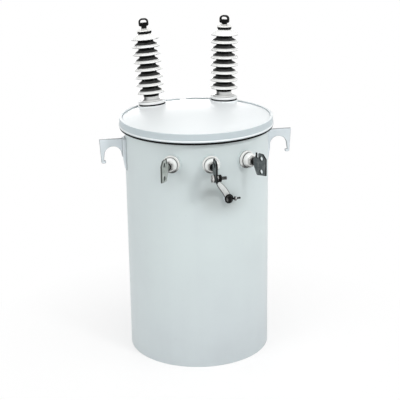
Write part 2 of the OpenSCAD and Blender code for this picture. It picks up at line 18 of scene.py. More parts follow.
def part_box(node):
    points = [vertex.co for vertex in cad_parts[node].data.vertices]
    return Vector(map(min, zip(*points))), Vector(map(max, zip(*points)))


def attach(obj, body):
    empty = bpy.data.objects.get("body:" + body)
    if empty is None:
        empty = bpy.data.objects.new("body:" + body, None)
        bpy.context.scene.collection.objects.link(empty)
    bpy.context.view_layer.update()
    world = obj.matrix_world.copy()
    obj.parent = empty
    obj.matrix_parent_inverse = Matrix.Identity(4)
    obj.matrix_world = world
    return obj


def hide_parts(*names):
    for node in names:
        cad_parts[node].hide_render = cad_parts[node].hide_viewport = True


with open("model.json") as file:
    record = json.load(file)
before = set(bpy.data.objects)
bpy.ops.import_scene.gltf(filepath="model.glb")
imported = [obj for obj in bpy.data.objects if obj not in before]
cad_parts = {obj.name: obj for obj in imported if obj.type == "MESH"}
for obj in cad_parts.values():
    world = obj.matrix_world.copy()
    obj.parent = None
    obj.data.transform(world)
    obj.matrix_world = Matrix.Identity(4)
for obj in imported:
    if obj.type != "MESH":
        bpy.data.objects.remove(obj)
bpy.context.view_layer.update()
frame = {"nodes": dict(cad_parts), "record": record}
nodes = frame["nodes"]

# %% [markdown]
# ## Sizes from the frame
#
# A piece that stands for a CAD node has to sit exactly where the node is. Typing the places again
# would work, but they would drift when the CAD changes, so they are read off the nodes' boxes. A
# plain disc such as a gasket has its middle at the middle of its box, however it leans, so two
# discs on one bushing give the bushing's axis.

# %% Read places and sizes off the CAD boxes
MM = 0.001
ORIGIN = np.zeros(3)
SIDEWAYS, REARWARDS, UP = np.eye(3)
FRAME = (ORIGIN, SIDEWAYS, REARWARDS, UP)


def middle(node):
    """Middle of a CAD node's box, in metres."""
    low, high = (np.array(corner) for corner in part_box(node))
    return (low + high) / 2


def unit(vector):
    """The vector, or each row of an array of vectors, at length 1."""
    vector = np.asarray(vector, float)
    return vector / np.linalg.norm(vector, axis=-1, keepdims=True)


tank_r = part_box("tank_wall")[1].x / MM
tank_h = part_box("tank_wall")[1].z / MM
band_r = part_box("cover_band")[1].x / MM
band_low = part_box("cover_band")[0].z / MM
band_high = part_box("cover_band")[1].z / MM
dome_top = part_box("cover")[1].z / MM
sizes = np.round([tank_r, tank_h, band_r, dome_top], 1)
print("tank's radius and height, band's radius, top of the dome, in mm:", *sizes)

# %% [markdown]
# ## The camera
#
# The photograph was taken from a little above the cover and a little to the left, with a long lens.
# A camera fitted to the tank's and the cover's edges gave the numbers below. The rotation matrix is
# built from the view's own right, up and backward directions, which is easier to check than three
# Euler angles.

# %% Place the camera
CAMERA_PLACE = (-0.6866, -3.7044, 1.7723)
CAMERA_HEADING = np.radians(10.64)
CAMERA_DROP = np.radians(18.22)
CAMERA_ROLL = np.radians(-0.86)
FOCAL_MM = 100.36
SENSOR_MM = 36.0


def add_object(name, data):
    """A new object at the origin, in the scene's own collection."""
    made = bpy.data.objects.new(name, data)
    bpy.context.scene.collection.objects.link(made)
    return made


def camera_matrix(place, heading, drop, roll):
    """World matrix of a camera that looks along its heading, drops below the horizon, then rolls."""
    ahead = np.array([
        np.sin(heading) * np.cos(drop), np.cos(heading) * np.cos(drop), -np.sin(drop)
    ])
    level = np.array([np.cos(heading), -np.sin(heading), 0.0])
    above = np.cross(level, ahead)
    right = level * np.cos(roll) + above * np.sin(roll)
    top = above * np.cos(roll) - level * np.sin(roll)
    turned = np.eye(4)
    turned[:3] = np.column_stack([right, top, -ahead, place])
    return Matrix(turned.tolist())


camera_data = bpy.data.cameras.new("photo_camera")
camera_data.lens = FOCAL_MM
camera_data.sensor_width = SENSOR_MM
camera = add_object("photo_camera", camera_data)
camera.matrix_world = camera_matrix(CAMERA_PLACE, CAMERA_HEADING, CAMERA_DROP, CAMERA_ROLL)
bpy.context.scene.camera = camera
print("camera", FOCAL_MM, "mm at", CAMERA_PLACE)

# %% [markdown]
# ## Shader maths as Python
#
# A material is a graph of nodes, and linking Math nodes by hand soon hides what they compute. The
# class below wraps one output socket and overloads the operators, so that `1 - dust * 0.3` adds its
# own nodes. Every other node comes from one method, which sets the node's options first and then
# its sockets.

# %% A socket that does arithmetic


class Wire:
    """An output socket of a material's node tree, which takes part in Python arithmetic."""

    def __init__(self, tree, socket=None):
        self.tree = tree
        self.socket = socket

    def add(self, kind, settings=None, sockets=None, out=0):
        """Adds a node: its settings first (stops fill a colour ramp), then its input sockets."""
        node = self.tree.nodes.new("ShaderNode" + kind)
        for name, value in (settings or {}).items():
            if name == "stops":
                elements = node.color_ramp.elements
                while len(elements) < len(value):
                    elements.new(1.0)
                for element, (place, level) in zip(elements, value):
                    element.position = place
                    element.color = (level, level, level, 1.0)
            else:
                setattr(node, name, value)
        for name, value in (sockets or {}).items():
            if isinstance(value, Wire):
                self.tree.links.new(value.socket, node.inputs[name])
            else:
                node.inputs[name].default_value = value
        return Wire(self.tree, node.outputs[out])

    def maths(self, operation, *values):
        """One Math node on values or wires."""
        return self.add("Math", {"operation": operation}, dict(enumerate(values)))

    def __add__(self, other):
        return self.maths("ADD", self, other)

    def __radd__(self, other):
        return self.maths("ADD", other, self)

    def __sub__(self, other):
        return self.maths("SUBTRACT", self, other)

    def __rsub__(self, other):
        return self.maths("SUBTRACT", other, self)

    def __mul__(self, other):
        return self.maths("MULTIPLY", self, other)

    def __rmul__(self, other):
        return self.maths("MULTIPLY", other, self)

    def ramp(self, *stops):
        """The value through a ramp of (place, level) stops."""
        return self.add("ValToRGB", {"stops": stops}, {"Fac": self})

    def rise(self, low, high):
        """0 up to low, 1 from high on, and a straight line between them."""
        return self.ramp((low, 0.0), (high, 1.0))

    def noise(self, scale, detail=2.0, rough=0.5, stretch=(1.0, 1.0, 1.0)):
        """Noise on these coordinates, which stretch multiplies first."""
        moved = self.add("Mapping", None, {"Vector": self, "Scale": stretch})
        values = {"Vector": moved, "Scale": scale, "Detail": detail, "Roughness": rough}
        return self.add("TexNoise", {"noise_dimensions": "3D"}, values, out="Fac")

    def between(self, first, second):
        """A colour from first, at 0, to second, at 1."""
        return self.add("Mix", {"data_type": "RGBA"}, {0: self, 6: first, 7: second}, out=2)

    def bump(self, strength, distance):
        """This height as a normal."""
        return self.add("Bump", None, {"Height": self, "Strength": strength, "Distance": distance})


print("a wire overloads", [sign for sign in ("__add__", "__sub__", "__mul__") if hasattr(Wire, sign)])

# %% Colours, and a finish that feeds one shader


def shade(red, green, blue):
    """A colour as read off a picture, 0 to 255 a channel, as the linear values that a shader takes: the
    curve is straight near black, and a power of 2.4 above."""
    picture = np.array([red, green, blue]) / 255
    linear = np.where(picture <= 0.04045, picture / 12.92, ((picture + 0.055) / 1.055) ** 2.4)
    return (*map(float, linear), 1.0)


class Finish:
    """A material with one Principled shader. Constants go on the shader's own sockets."""

    def __init__(self, name, **constants):
        self.material = bpy.data.materials.new(name)
        self.material.use_nodes = True
        self.tree = self.material.node_tree
        self.shader = self.tree.nodes["Principled BSDF"]
        for socket, value in constants.items():
            self.shader.inputs[socket.replace("_", " ")].default_value = value
        self.place = Wire(self.tree).add("TexCoord", out="Object")

    def feed(self, **wires):
        """Links wires to the shader's sockets, with _ for a space."""
        for socket, wire in wires.items():
            self.tree.links.new(wire.socket, self.shader.inputs[socket.replace("_", " ")])
        return self.material

    def mark(self):
        """The mark that each point of a new piece carries."""
        return Wire(self.tree).add("Attribute", {"attribute_name": "mark"}, out="Fac")

    def height(self):
        """Height above the floor, in metres."""
        return Wire(self.tree).add("SeparateXYZ", None, {"Vector": self.place}, out="Z")


print("red of a mid grey:", round(shade(128, 128, 128)[0], 3))

# %% [markdown]
# ## Painted steel
#
# The tank is sprayed with a pale blue-grey enamel. Up close such paint has a fine orange peel, and
# over the whole tank its tone drifts where dust has settled and rain has run. Layers of noise at
# three scales give that: a slow cloud for the tone, noise stretched upright for the runs, and a
# grain of about 3 mm as bump. Image textures would do as well, but they need a layout, and noise on
# Object coordinates covers every side alike.

# %% Mix the paints
# The first tone is dirt in the paint, and it is painted shade where a piece's mark leads to it.
PAINT_DIRT_AND_SHADE = (128, 132, 130)
COVER_LIT_TONE = (231, 235, 236)
RAIN_STRETCH = (17.0, 17.0, 1.1)
CLOUD_SHARE = 0.3
SPECK_SHARE = 0.16
FOOT_SHARE = 0.3
FOOT_TOP = 0.16
DULL_TOP = 0.46
MARK_SHARE = 0.8


def painted_steel(name, fresh, dull, runs, low_darkening=0.0, marked=PAINT_DIRT_AND_SHADE):
    """Enamel on steel: runs is the strength of rain marks, and the next setting gives the dirt near the floor
    and how far the paint darkens towards the bottom. A piece's mark leads to a colour of its own: painted
    shade on the tank's wall and in the cover's crevice, dirt and painted shade on the welds, dark rims on
    the hooks, and painted light on the band's upper faces."""
    paint = Finish(name, Specular_IOR_Level=0.5)
    cloud = paint.place.noise(scale=3.1, detail=4.0, rough=0.55).rise(0.3, 0.72)
    rain = paint.place.noise(scale=1.0, stretch=RAIN_STRETCH).rise(0.4, 0.85)
    specks = paint.place.noise(scale=150.0).rise(0.72, 0.8)
    foot = paint.height().ramp((0.0, 1.0), (FOOT_TOP, 0.0))
    lower = paint.height().ramp((0.02, 1.0), (DULL_TOP, 0.0))
    dulled = (cloud * CLOUD_SHARE + rain * runs + lower * low_darkening).between(shade(*fresh), shade(*dull))
    darkening = specks * SPECK_SHARE + foot * (FOOT_SHARE * low_darkening * cloud)
    soiled = darkening.between(dulled, shade(*PAINT_DIRT_AND_SHADE))
    peel = paint.place.noise(scale=330.0, detail=1.5) * 0.7 + paint.place.noise(scale=38.0) * 0.9
    return paint.feed(
        Base_Color=(paint.mark() * MARK_SHARE).between(soiled, shade(*marked)),
        Roughness=0.34 + cloud * 0.12 + rain * 0.08,
        Normal=peel.bump(strength=0.16, distance=0.0006),
    )


tank_paint = painted_steel("tank_paint", (210, 221, 221), (193, 200, 205), runs=0.12, low_darkening=0.45)
# The cover is the tank's enamel painted lighter: its pale tone is light from above, painted in.
cover_paint = painted_steel("cover_paint", COVER_LIT_TONE, (223, 228, 230), runs=0.1)
# The band's mark leads to the cover's lit tone: painted light on its upward faces.
band_paint = painted_steel("band_paint", (192, 203, 207), (180, 190, 195), runs=0.1, marked=COVER_LIT_TONE)
ring_paint = painted_steel("ring_paint", (227, 229, 229), (217, 220, 220), runs=0.1)
# The bracket paint's mark is a dark tone for the hooks' rims, and for dirt and painted shade on the welds.
bracket_paint = painted_steel(
    "bracket_paint", (217, 225, 229), (203, 211, 216), runs=0.15, marked=(78, 81, 81)
)
print("paints:", tank_paint.name, cover_paint.name, band_paint.name, ring_paint.name, bracket_paint.name)

# %% [markdown]
# ## Glazed porcelain
#
# The bushings are white porcelain under a clear glaze. The grooves between the sheds lie in deep
# shade, nearly black, and that shade is painted into the glaze's colour. The mesh carries a mark from
# 0 on the outer parts of the sheds to 1 in the grooves, and the finish turns the mark into painted
# shade, which stays dark from every side.

# %% Fire the porcelain


def porcelain(name, bright_glaze, tinted, darkening):
    """Glazed porcelain that turns dark where the mark is high: painted shade, and on the short bushings dirt
    as well. The dark takes the glaze's gloss away.
    """
    glaze = Finish(name, Coat_Roughness=0.08, Specular_IOR_Level=0.1)
    cloud = glaze.place.noise(scale=22.0, detail=3.0).rise(0.35, 0.75)
    speck = glaze.place.noise(scale=420.0, detail=1.0).rise(0.74, 0.82)
    smear = glaze.place.noise(scale=70.0, detail=3.0, rough=0.6)
    clean = (cloud * 0.6 + speck * 0.3).between(shade(*bright_glaze), shade(*tinted))
    shade_and_grime = (glaze.mark() * (1.2 + (smear - 0.5) * 0.2)).rise(0.1, 0.8)
    return glaze.feed(
        Base_Color=shade_and_grime.between(clean, shade(*darkening)),
        Roughness=0.2 + 0.1 * cloud + 0.4 * shade_and_grime,
        Coat_Weight=0.75 - 0.75 * shade_and_grime,
        Normal=glaze.place.noise(scale=60.0).bump(strength=0.08, distance=0.0008),
    )


# The tall bushings' dark tone is painted shade; on the short ones it is dirt and painted shade.
hv_porcelain = porcelain("hv_porcelain", (240, 241, 240), (231, 231, 226), (10, 10, 10))
lv_porcelain = porcelain("lv_porcelain", (232, 234, 233), (219, 221, 216), (58, 59, 58))
print("porcelain:", hv_porcelain.name, lv_porcelain.name)

# %% [markdown]
# ## Rubber and metals
#
# The seals are black rubber with a dull bloom. The metals differ mostly in how far they have
# tarnished: the caps and the strap are tinned and pale, the spades are dull grey, and the bolts and
# eyes have gone nearly black. One function makes them all from a clean tone, a tarnished tone, the
# tone along their edges and the share of tarnish. The mark of a piece is 1 along its edges, which
# are rubbed bright on some metals and gather dirt on others.

# %% Mix the rubber and the metals


def seal_rubber(name):
    """Black rubber with a grey bloom in patches."""
    rubber = Finish(name, Specular_IOR_Level=0.12)
    bloom = rubber.place.noise(scale=45.0, detail=4.0, rough=0.6).rise(0.45, 0.85)
    return rubber.feed(
        Base_Color=bloom.between(shade(5, 5, 6), shade(26, 27, 28)),
        Roughness=0.55 + 0.25 * bloom,
        Normal=rubber.place.noise(scale=700.0).bump(strength=0.2, distance=0.0003),
    )


def aged_metal(name, clean, tarnished, edge, share, metallic, brushed=(1.0, 1.0, 1.0)):
    """Metal whose tarnish covers about a share of it, with a tone of its own along its edges."""
    metal = Finish(name, Specular_IOR_Level=0.15)
    patches = metal.place.noise(scale=55.0, detail=4.0, rough=0.62)
    scratches = metal.place.noise(scale=240.0, detail=3.0, rough=0.6, stretch=brushed)
    tarnish = (patches + (share - 0.5)).rise(0.36, 0.62)
    aged = tarnish.between(shade(*clean), shade(*tarnished))
    return metal.feed(
        Base_Color=(metal.mark() * (0.9 + 0.2 * patches)).between(aged, shade(*edge)),
        Metallic=metallic - 0.25 * tarnish,
        Roughness=0.3 + 0.25 * tarnish + 0.15 * scratches,
        Normal=(scratches + 0.6 * patches).bump(strength=0.14, distance=0.0004),
    )


# The last two numbers of a metal are its share of tarnish and how metallic it is where it is clean.
BLACKENED = (10, 10, 10)
ALONG_STRAP = (1.0, 1.0, 0.12)
rubber = seal_rubber("seal_rubber")
cap_metal = aged_metal("cap_metal", (238, 238, 235), (212, 213, 210), (240, 240, 238), 0.3, 0.45)
nut_metal = aged_metal("nut_metal", (232, 233, 230), (196, 198, 195), (24, 24, 25), 0.35, 0.45)
strap_metal = aged_metal(
    "strap_metal", (220, 223, 222), (186, 190, 189), (74, 76, 75), 0.35, 0.6, brushed=ALONG_STRAP
)
terminal_metal = aged_metal("terminal_metal", (58, 58, 57), (7, 7, 7), (16, 16, 16), 0.9, 0.5)
bolt_steel = aged_metal("bolt_steel", (222, 223, 221), (30, 31, 32), BLACKENED, 0.4, 0.6)
clamp_metal = aged_metal("clamp_metal", (220, 221, 219), (14, 14, 15), BLACKENED, 0.55, 0.5)
# The spades are all one metal: this copy is painted lighter for the light that its faces reflect, and the
# next is painted darker as shade.
spade_painted_lit = aged_metal("spade_metal_painted_lit", (196, 202, 198), (152, 160, 155), (74, 78, 76), 0.5, 0.5)
spade_painted_shaded = aged_metal("spade_metal_painted_shaded", (132, 138, 138), (88, 95, 96), BLACKENED, 0.6, 0.5)
print("metals:", cap_metal.name, strap_metal.name, terminal_metal.name, bolt_steel.name)

# %% [markdown]
# ## The CAD nodes that stay
#
# Where a CAD solid already has the real piece's shape, such as the tank's bottom, a flat gasket or the
# ground boss, it stays and only its finish changes. The record gives each node a material slot, and
# some slots have more than one finish. One table sorts them, and the first finish in a row dresses the
# slot's CAD nodes.

# %% Sort the finishes into the record's slots
SLOTS = {
    "tank_paint": (tank_paint,),
    "cover_paint": (cover_paint, band_paint, ring_paint),
    "bracket_paint": (bracket_paint,),
    "hv_porcelain": (hv_porcelain,),
    "lv_porcelain": (lv_porcelain,),
    "seal_rubber": (rubber,),
    "cap_metal": (cap_metal,),
    "terminal_metal": (terminal_metal,),
    "spade_metal": (spade_painted_shaded, spade_painted_lit, nut_metal),
    "strap_metal": (strap_metal,),
    "bolt_steel": (bolt_steel, clamp_metal),
}
for part in frame["record"]["subparts"]:
    for holder in nodes[part["node"]].material_slots:
        holder.material = SLOTS[part["material_slot"]][0]

# %% [markdown]
# ## Surfaces from arrays
#
# Every new piece is a grid of points worked out at once with numpy, in millimetres, and then placed
# in the frame, in metres. A surface keeps its points, its faces and the mark at each point. Adding
# two surfaces joins them. The mesh is made at the very end: points that coincide, as at the poles of
# a turned shape, are merged, and the faces are turned outwards.

# %% A surface of points, faces and marks


class Surface:
    """Points in millimetres, quads and triangles between them, and a mark from 0 to 1 at each point."""

    def __init__(self, points, quads=(), triangles=(), mark=None):
        self.points = np.asarray(points, float).reshape(-1, 3)
        self.quads = np.asarray(quads, int).reshape(-1, 4)
        self.triangles = np.asarray(triangles, int).reshape(-1, 3)
        self.mark = np.zeros(len(self.points)) if mark is None else np.asarray(mark, float).ravel()

    def __add__(self, other):
        shift = len(self.points)
        return Surface(
            np.vstack([self.points, other.points]),
            np.vstack([self.quads, other.quads + shift]),
            np.vstack([self.triangles, other.triangles + shift]),
            np.concatenate([self.mark, other.mark]),
        )

    def moved(self, z):
        """The surface shifted along its own z, in millimetres."""
        return Surface(self.points + [0, 0, z], self.quads, self.triangles, self.mark)

    def placed(self, origin, across, up, out):
        """In the frame's metres: origin + x * across + y * up + z * out."""
        points = np.asarray(origin) + MM * self.points @ np.array([across, up, out])
        return Surface(points, self.quads, self.triangles, self.mark)


def grid(rows, cols, ring_rows=False):
    """Quads between neighbours on a grid of rows x cols points. Each row closes into a ring, and so does
    each column where asked."""
    i = np.arange(rows if ring_rows else rows - 1)[:, None]
    j = np.arange(cols)[None, :]
    below, after = (i + 1) % rows, (j + 1) % cols
    corners = (i * cols + j, i * cols + after, below * cols + after, below * cols + j)
    return np.stack(np.broadcast_arrays(*corners), axis=-1).reshape(-1, 4)


print("a tube of 3 x 8 points has", len(grid(3, 8)), "quads")

# %% Make a surface a piece
SMOOTH_ANGLE = np.radians(38)
MERGE_M = 1e-6


def make_piece(name, surface, finish, *stands_for):
    """Makes a placed surface a mesh object that rides on the part and stands for CAD nodes."""
    mesh = bpy.data.meshes.new(name)
    mesh.from_pydata(surface.points.tolist(), [], surface.quads.tolist() + surface.triangles.tolist())
    mark = mesh.attributes.new("mark", "FLOAT", "POINT")
    mark.data.foreach_set("value", surface.mark.astype(np.float32))
    work = bmesh.new()
    work.from_mesh(mesh)
    bmesh.ops.remove_doubles(work, verts=work.verts, dist=MERGE_M)
    bmesh.ops.recalc_face_normals(work, faces=work.faces)
    work.to_mesh(mesh)
    work.free()
    mesh.shade_smooth()
    mesh.set_sharp_from_angle(angle=SMOOTH_ANGLE)
    mesh.materials.append(finish)
    piece = add_object(name, mesh)
    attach(piece, "root")
    if stands_for:
        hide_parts(*stands_for)
    print(name, len(mesh.polygons), "faces")


print("edges turn sharp from", round(np.degrees(SMOOTH_ANGLE)), "degrees")

# %% [markdown]
# ## Outlines and turned shapes
#
# Real edges are never sharp: a small radius catches the light and shows where a form ends. So each
# outline is a short table of corners, each with the radius of its arc. Turning an outline about an
# axis gives domes, porcelain and washers, which could also be done with Blender's Screw modifier,
# but a formula keeps the mark of every row at hand.

# %% Rounded outlines


def rounded(corners, radii, steps=6):
    """An outline with arcs at its corners: an arc starts and ends r / tan(half angle) from a corner."""
    corners = np.asarray(corners, float)
    back = unit(np.roll(corners, 1, axis=0) - corners)
    ahead = unit(np.roll(corners, -1, axis=0) - corners)
    half = np.arccos(np.clip(np.sum(back * ahead, axis=1), -1, 1)) / 2
    share = np.linspace(0, 1, steps + 1)[:, None]
    runs = []
    for corner, a, b, h, r in zip(corners, back, ahead, half, np.broadcast_to(radii, len(corners))):
        if r == 0:
            runs.append(corner[None])
            continue
        centre = corner + unit(a + b) * r / np.sin(h)
        start, end = corner + a * r / np.tan(h) - centre, corner + b * r / np.tan(h) - centre
        turn = np.pi - 2 * h
        runs.append(centre + (np.sin((1 - share) * turn) * start + np.sin(share * turn) * end) / np.sin(turn))
    return np.concatenate(runs)


def outline(rows, steps=6):
    """A rounded outline from rows of x, y and the radius of that corner."""
    rows = np.array(rows, float)
    return rounded(rows[:, :2], rows[:, 2], steps)


def oblong(x0, y0, x1, y1):
    """The four corners of a rectangle, from (x0, y0) by way of (x1, y0)."""
    return np.array([[x0, y0], [x1, y0], [x1, y1], [x0, y1]], float)


print("a rounded square has", len(rounded(oblong(0, 0, 9, 9), 2)), "points")

# %% Points along a line


def distance_along(line):
    """How far along a line each of its points lies."""
    return np.concatenate([[0], np.cumsum(np.linalg.norm(np.diff(line, axis=0), axis=1))])


def at_stations(line, along, stations):
    """The points of a line at other distances along it: each coordinate goes straight between points."""
    return np.stack([np.interp(stations, along, column) for column in line.T], axis=1)


def finer(line, step):
    """The same line with added points, so that no two are further apart than about a step."""
    along = distance_along(line)
    added = np.linspace(0, along[-1], int(along[-1] / step) + 2)
    return at_stations(line, along, np.unique(np.concatenate([along, added]).round(6)))


print("a side of 9 mm in steps of 2 has", len(finer(oblong(0, 0, 9, 9)[:2], 2)), "points")

# %% The lathe


def lathe(profile, turns=96, ring=False, mark=None):
    """Point (i, j): profile point i, at a distance r and a height z, turned by j / turns of a circle."""
    angle = np.arange(turns) * (2 * np.pi / turns)
    r, z = profile[:, :1], profile[:, 1:2]
    points = np.stack(np.broadcast_arrays(r * np.cos(angle), r * np.sin(angle), z), axis=-1)
    spread = None if mark is None else np.broadcast_to(mark, points.shape[:2])
    return Surface(points, grid(len(profile), turns, ring_rows=ring), mark=spread)


def turned_ring(inner_r, outer_r, low, high, radii, turns=96, steps=6, mark=None):
    """A ring about z: a rectangle with rounded corners, turned."""
    return lathe(rounded(oblong(inner_r, low, outer_r, high), radii, steps), turns, True, mark)


print("a plain ring has", len(turned_ring(5, 8, 0, 2, 0).quads), "quads")

# %% [markdown]
# ## The tank
#
# The tank is a sheet rolled into a cylinder, with three round seats for the low-voltage bushings on
# its front. The CAD wall has the right form, but its flat facets would show in the paint's gloss, so a
# finer turned wall stands for it. Its lower edge is slightly rounded, and so is the edge of each seat.
# The mark holds painted shadows under the bushings and round the ground clamp: soft dark patches where
# the bushings, the spade, the strap and the clamp cast shade on the wall. Each row of their table gives
# a node, how far the patch's middle lies below it, its half width and half height, and its strength.

# %% Paint shadows on the wall
SHORT_BUSHINGS = ("left", "neutral", "right")
# Each row is a painted shadow on the wall.
PAINTED_SHADOWS = (
    ("left_lv_gasket", 48, 62, 44, 0.2),
    ("neutral_lv_gasket", 96, 46, 60, 0.58),
    ("right_lv_gasket", 48, 62, 44, 0.2),
    ("ground_boss", 16, 62, 40, 0.5),
)


def wall_place(node):
    """(place on the wall in metres, right, up, outwards) at the azimuth and height of a node's middle."""
    x, y, z = middle(node)
    out = unit([x, y, 0.0])
    return out * tank_r * MM + UP * z, np.cross(UP, out), UP, out


def painted_shadow(points, node, below, half_w, half_h, strength):
    """A soft painted shadow under a node: strength * exp(-(across / half_w)^2 - (rise / half_h)^2)."""
    place, right, _, out = wall_place(node)
    across, rise = points @ right / half_w, (points[:, 2] - place[2] / MM + below) / half_h
    return strength * (points @ out > 0) * np.exp(-across**2 - rise**2)


print(len(PAINTED_SHADOWS), "stains, the largest", max(2 * row[3] for row in PAINTED_SHADOWS), "mm high")

# %% Roll the wall and set its seats
WALL_T = 3.0
WALL_EDGE = 0.5
WALL_FOOT_R = 2.0
WALL_STEP = 8.0
WALL_TURNS = 240
LV_SEAT_R = 31.5
LV_SEAT_H = 4.0
LV_SEAT_SINK = 2.0
LV_SEAT_EDGE = 1.2
SEAT_TURNS = 72
wall_corners = oblong(tank_r - WALL_T, 0, tank_r, tank_h)
wall_section = finer(rounded(wall_corners, [WALL_EDGE, WALL_FOOT_R, WALL_EDGE, WALL_EDGE]), WALL_STEP)
wall = lathe(wall_section, WALL_TURNS, ring=True)
# The wall's mark is the painted shadows of the table.
wall.mark = 1 - np.prod([1 - painted_shadow(wall.points, *row) for row in PAINTED_SHADOWS], axis=0)
wall = wall.placed(*FRAME)
seat_corners = oblong(0, -LV_SEAT_SINK, LV_SEAT_R, LV_SEAT_H)
lv_seat = lathe(rounded(seat_corners, [0, 0, LV_SEAT_EDGE, 0]), SEAT_TURNS)
for name in SHORT_BUSHINGS:
    wall = wall + lv_seat.placed(*wall_place(f"{name}_lv_gasket"))
make_piece("dressed_tank_wall", wall, tank_paint, "tank_wall")

# %% [markdown]
# ## The cover
#
# The cover is a pressed dome with a flat rim and a skirt that reaches down inside the clamping band.
# Two low bosses are pressed up in it, each with a flat seat that sets a bushing's lean. The dome is a
# part of a sphere, turned in one piece with its underside, and each boss is a short turned form along
# its bushing's axis, with a small fillet round its upper edge. The mark paints shade into the crevice
# where the dome meets the band's lip.

# %% Draw the cover's section
COVER_T = 3.0
CREVICE = 2.5
BAND_T = 4.0
SKIRT_GAP = 2.0
SKIRT_CLEAR = 0.2
DOME_STEPS = 40
cover_rim = band_high - BAND_T
skirt_r = band_r - BAND_T - SKIRT_GAP
skirt_in = skirt_r - COVER_T
dome_r = skirt_r - 2 * COVER_T
dome_rise = dome_top - cover_rim
dome_arc = (dome_r**2 + dome_rise**2) / (2 * dome_rise)


def cover_profile():
    """Dome from the axis outwards, over the rim, down the skirt and back under the dome. The dome is a
    sphere through the rim and the top: its height is top - arc + sqrt(arc^2 - r^2)."""
    r = np.append(np.linspace(0, dome_r - CREVICE, DOME_STEPS), dome_r)
    upper = np.stack([r, dome_top - dome_arc + np.sqrt(dome_arc**2 - np.square(r))], axis=1)
    skirt_low = band_low + BAND_T + SKIRT_CLEAR
    skirt = [[skirt_r, cover_rim], [skirt_r, skirt_low], [skirt_in, skirt_low]]
    skirt += [[skirt_in, cover_rim - COVER_T]]
    return np.vstack([upper, skirt, (upper - [0, COVER_T])[::-1]])


print("dome", round(2 * dome_r), "mm across rises", round(dome_rise, 1), "mm")

# %% Find the tall bushings' axes
SIDES = ("left", "right")
GASKET_T = 5.5


def bushing_axis(side):
    """(seat in metres, direction) of a tall bushing, from the discs at its two ends."""
    low, high = middle(f"{side}_hv_gasket"), middle(f"{side}_hv_cap_gasket")
    direction = unit(high - low)
    return low - direction * GASKET_T / 2 * MM, direction


def square_to(direction, towards):
    """Two directions across a direction: the first looks towards a way, the second is square to it."""
    towards = np.asarray(towards, float)
    first = unit(towards - direction * np.dot(direction, towards))
    return first, np.cross(direction, first)


def along_bushing(surface, side):
    """Places a turned surface on a tall bushing's seat, with z along the bushing."""
    seat, direction = bushing_axis(side)
    return surface.placed(seat, *square_to(direction, SIDEWAYS), direction)


for side in SIDES:
    print(side, "bushing leans", round(np.degrees(np.arccos(bushing_axis(side)[1][2])), 1), "degrees")

# %% Turn the cover and its two seats
SEAT_R = 50.5
SEAT_DEPTH = 9.0
SEAT_EDGE = 1.5
COVER_TURNS = 144
seat = lathe(rounded(oblong(0, 0, SEAT_R, -SEAT_DEPTH), [0, SEAT_EDGE, 0, 0]), SEAT_TURNS)
cover_line = cover_profile()
# Painted shade along the crevice where the dome meets the band's lip.
crevice_painted_shade = (cover_line[:, :1] == dome_r) * 1.0
cover = lathe(cover_line, COVER_TURNS, mark=crevice_painted_shade).placed(*FRAME)
for side in SIDES:
    cover = cover + along_bushing(seat, side)
make_piece("dressed_cover", cover, cover_paint, "cover")

# %% [markdown]
# ## The clamping band
#
# A rolled steel band holds the cover's rim down on the seal. It is one section carried round the tank,
# open at the rear, where two ears and a bolt draw its ends together. A full ring with a cut would
# need a Boolean, so the section is simply carried from one end to the other and closed with flat
# caps. Its lower edge is rolled outwards, and the mark gives its lip and the top of this roll the
# cover's paler tone, as painted light on faces that look up. The ears are plates with rounded edges:
# rings of their outline, drawn in a little at each face.

# %% Carry a section along a path


def carry(path, across, up, section, mark=None):
    """Point (i, j): path[i] + x[j] * across[i] + y[j] * up[i]. Each end of the run gets a cap."""
    rows, cols = len(path), len(section)
    x, y = section[None, :, :1], section[None, :, 1:]
    points = path[:, None] + x * across[:, None] + y * up[:, None]
    fan = np.stack([np.zeros(cols - 2), np.arange(1, cols - 1), np.arange(2, cols)], axis=1).astype(int)
    ends = np.vstack([fan[:, ::-1], fan + (rows - 1) * cols])
    spread = None if mark is None else np.tile(mark, rows)
    return Surface(points, grid(rows, cols), ends, spread)


def circle(radius, centre=(0.0, 0.0), points=40):
    """Points round a circle."""
    angle = np.arange(points) * (2 * np.pi / points)
    return np.asarray(centre) + radius * np.stack([np.cos(angle), np.sin(angle)], axis=1)


rod = carry(np.outer([0, 9], UP), np.tile(SIDEWAYS, (2, 1)), np.tile(REARWARDS, (2, 1)), circle(3.0))
print("a rod has", len(rod.quads), "quads round it and", len(rod.triangles), "triangles on its ends")

# %% Plates with rounded edges
FLAT_RING = 0.15


def signed_area(loop):
    """Area inside a loop, positive where the loop runs anticlockwise."""
    ahead = np.roll(loop, -1, axis=0)
    return np.sum(loop[:, 0] * ahead[:, 1] - ahead[:, 0] * loop[:, 1]) / 2


def inset(loop, distance):
    """Moves every side of a loop to its left by a distance: points go along their corner's bisector."""
    back, ahead = unit(loop - np.roll(loop, 1, axis=0)), unit(np.roll(loop, -1, axis=0) - loop)
    left = np.array([[0.0, 1.0], [-1.0, 0.0]])
    n, m = back @ left, ahead @ left
    return loop + distance * (n + m) / (1 + np.sum(n * m, axis=1, keepdims=True))


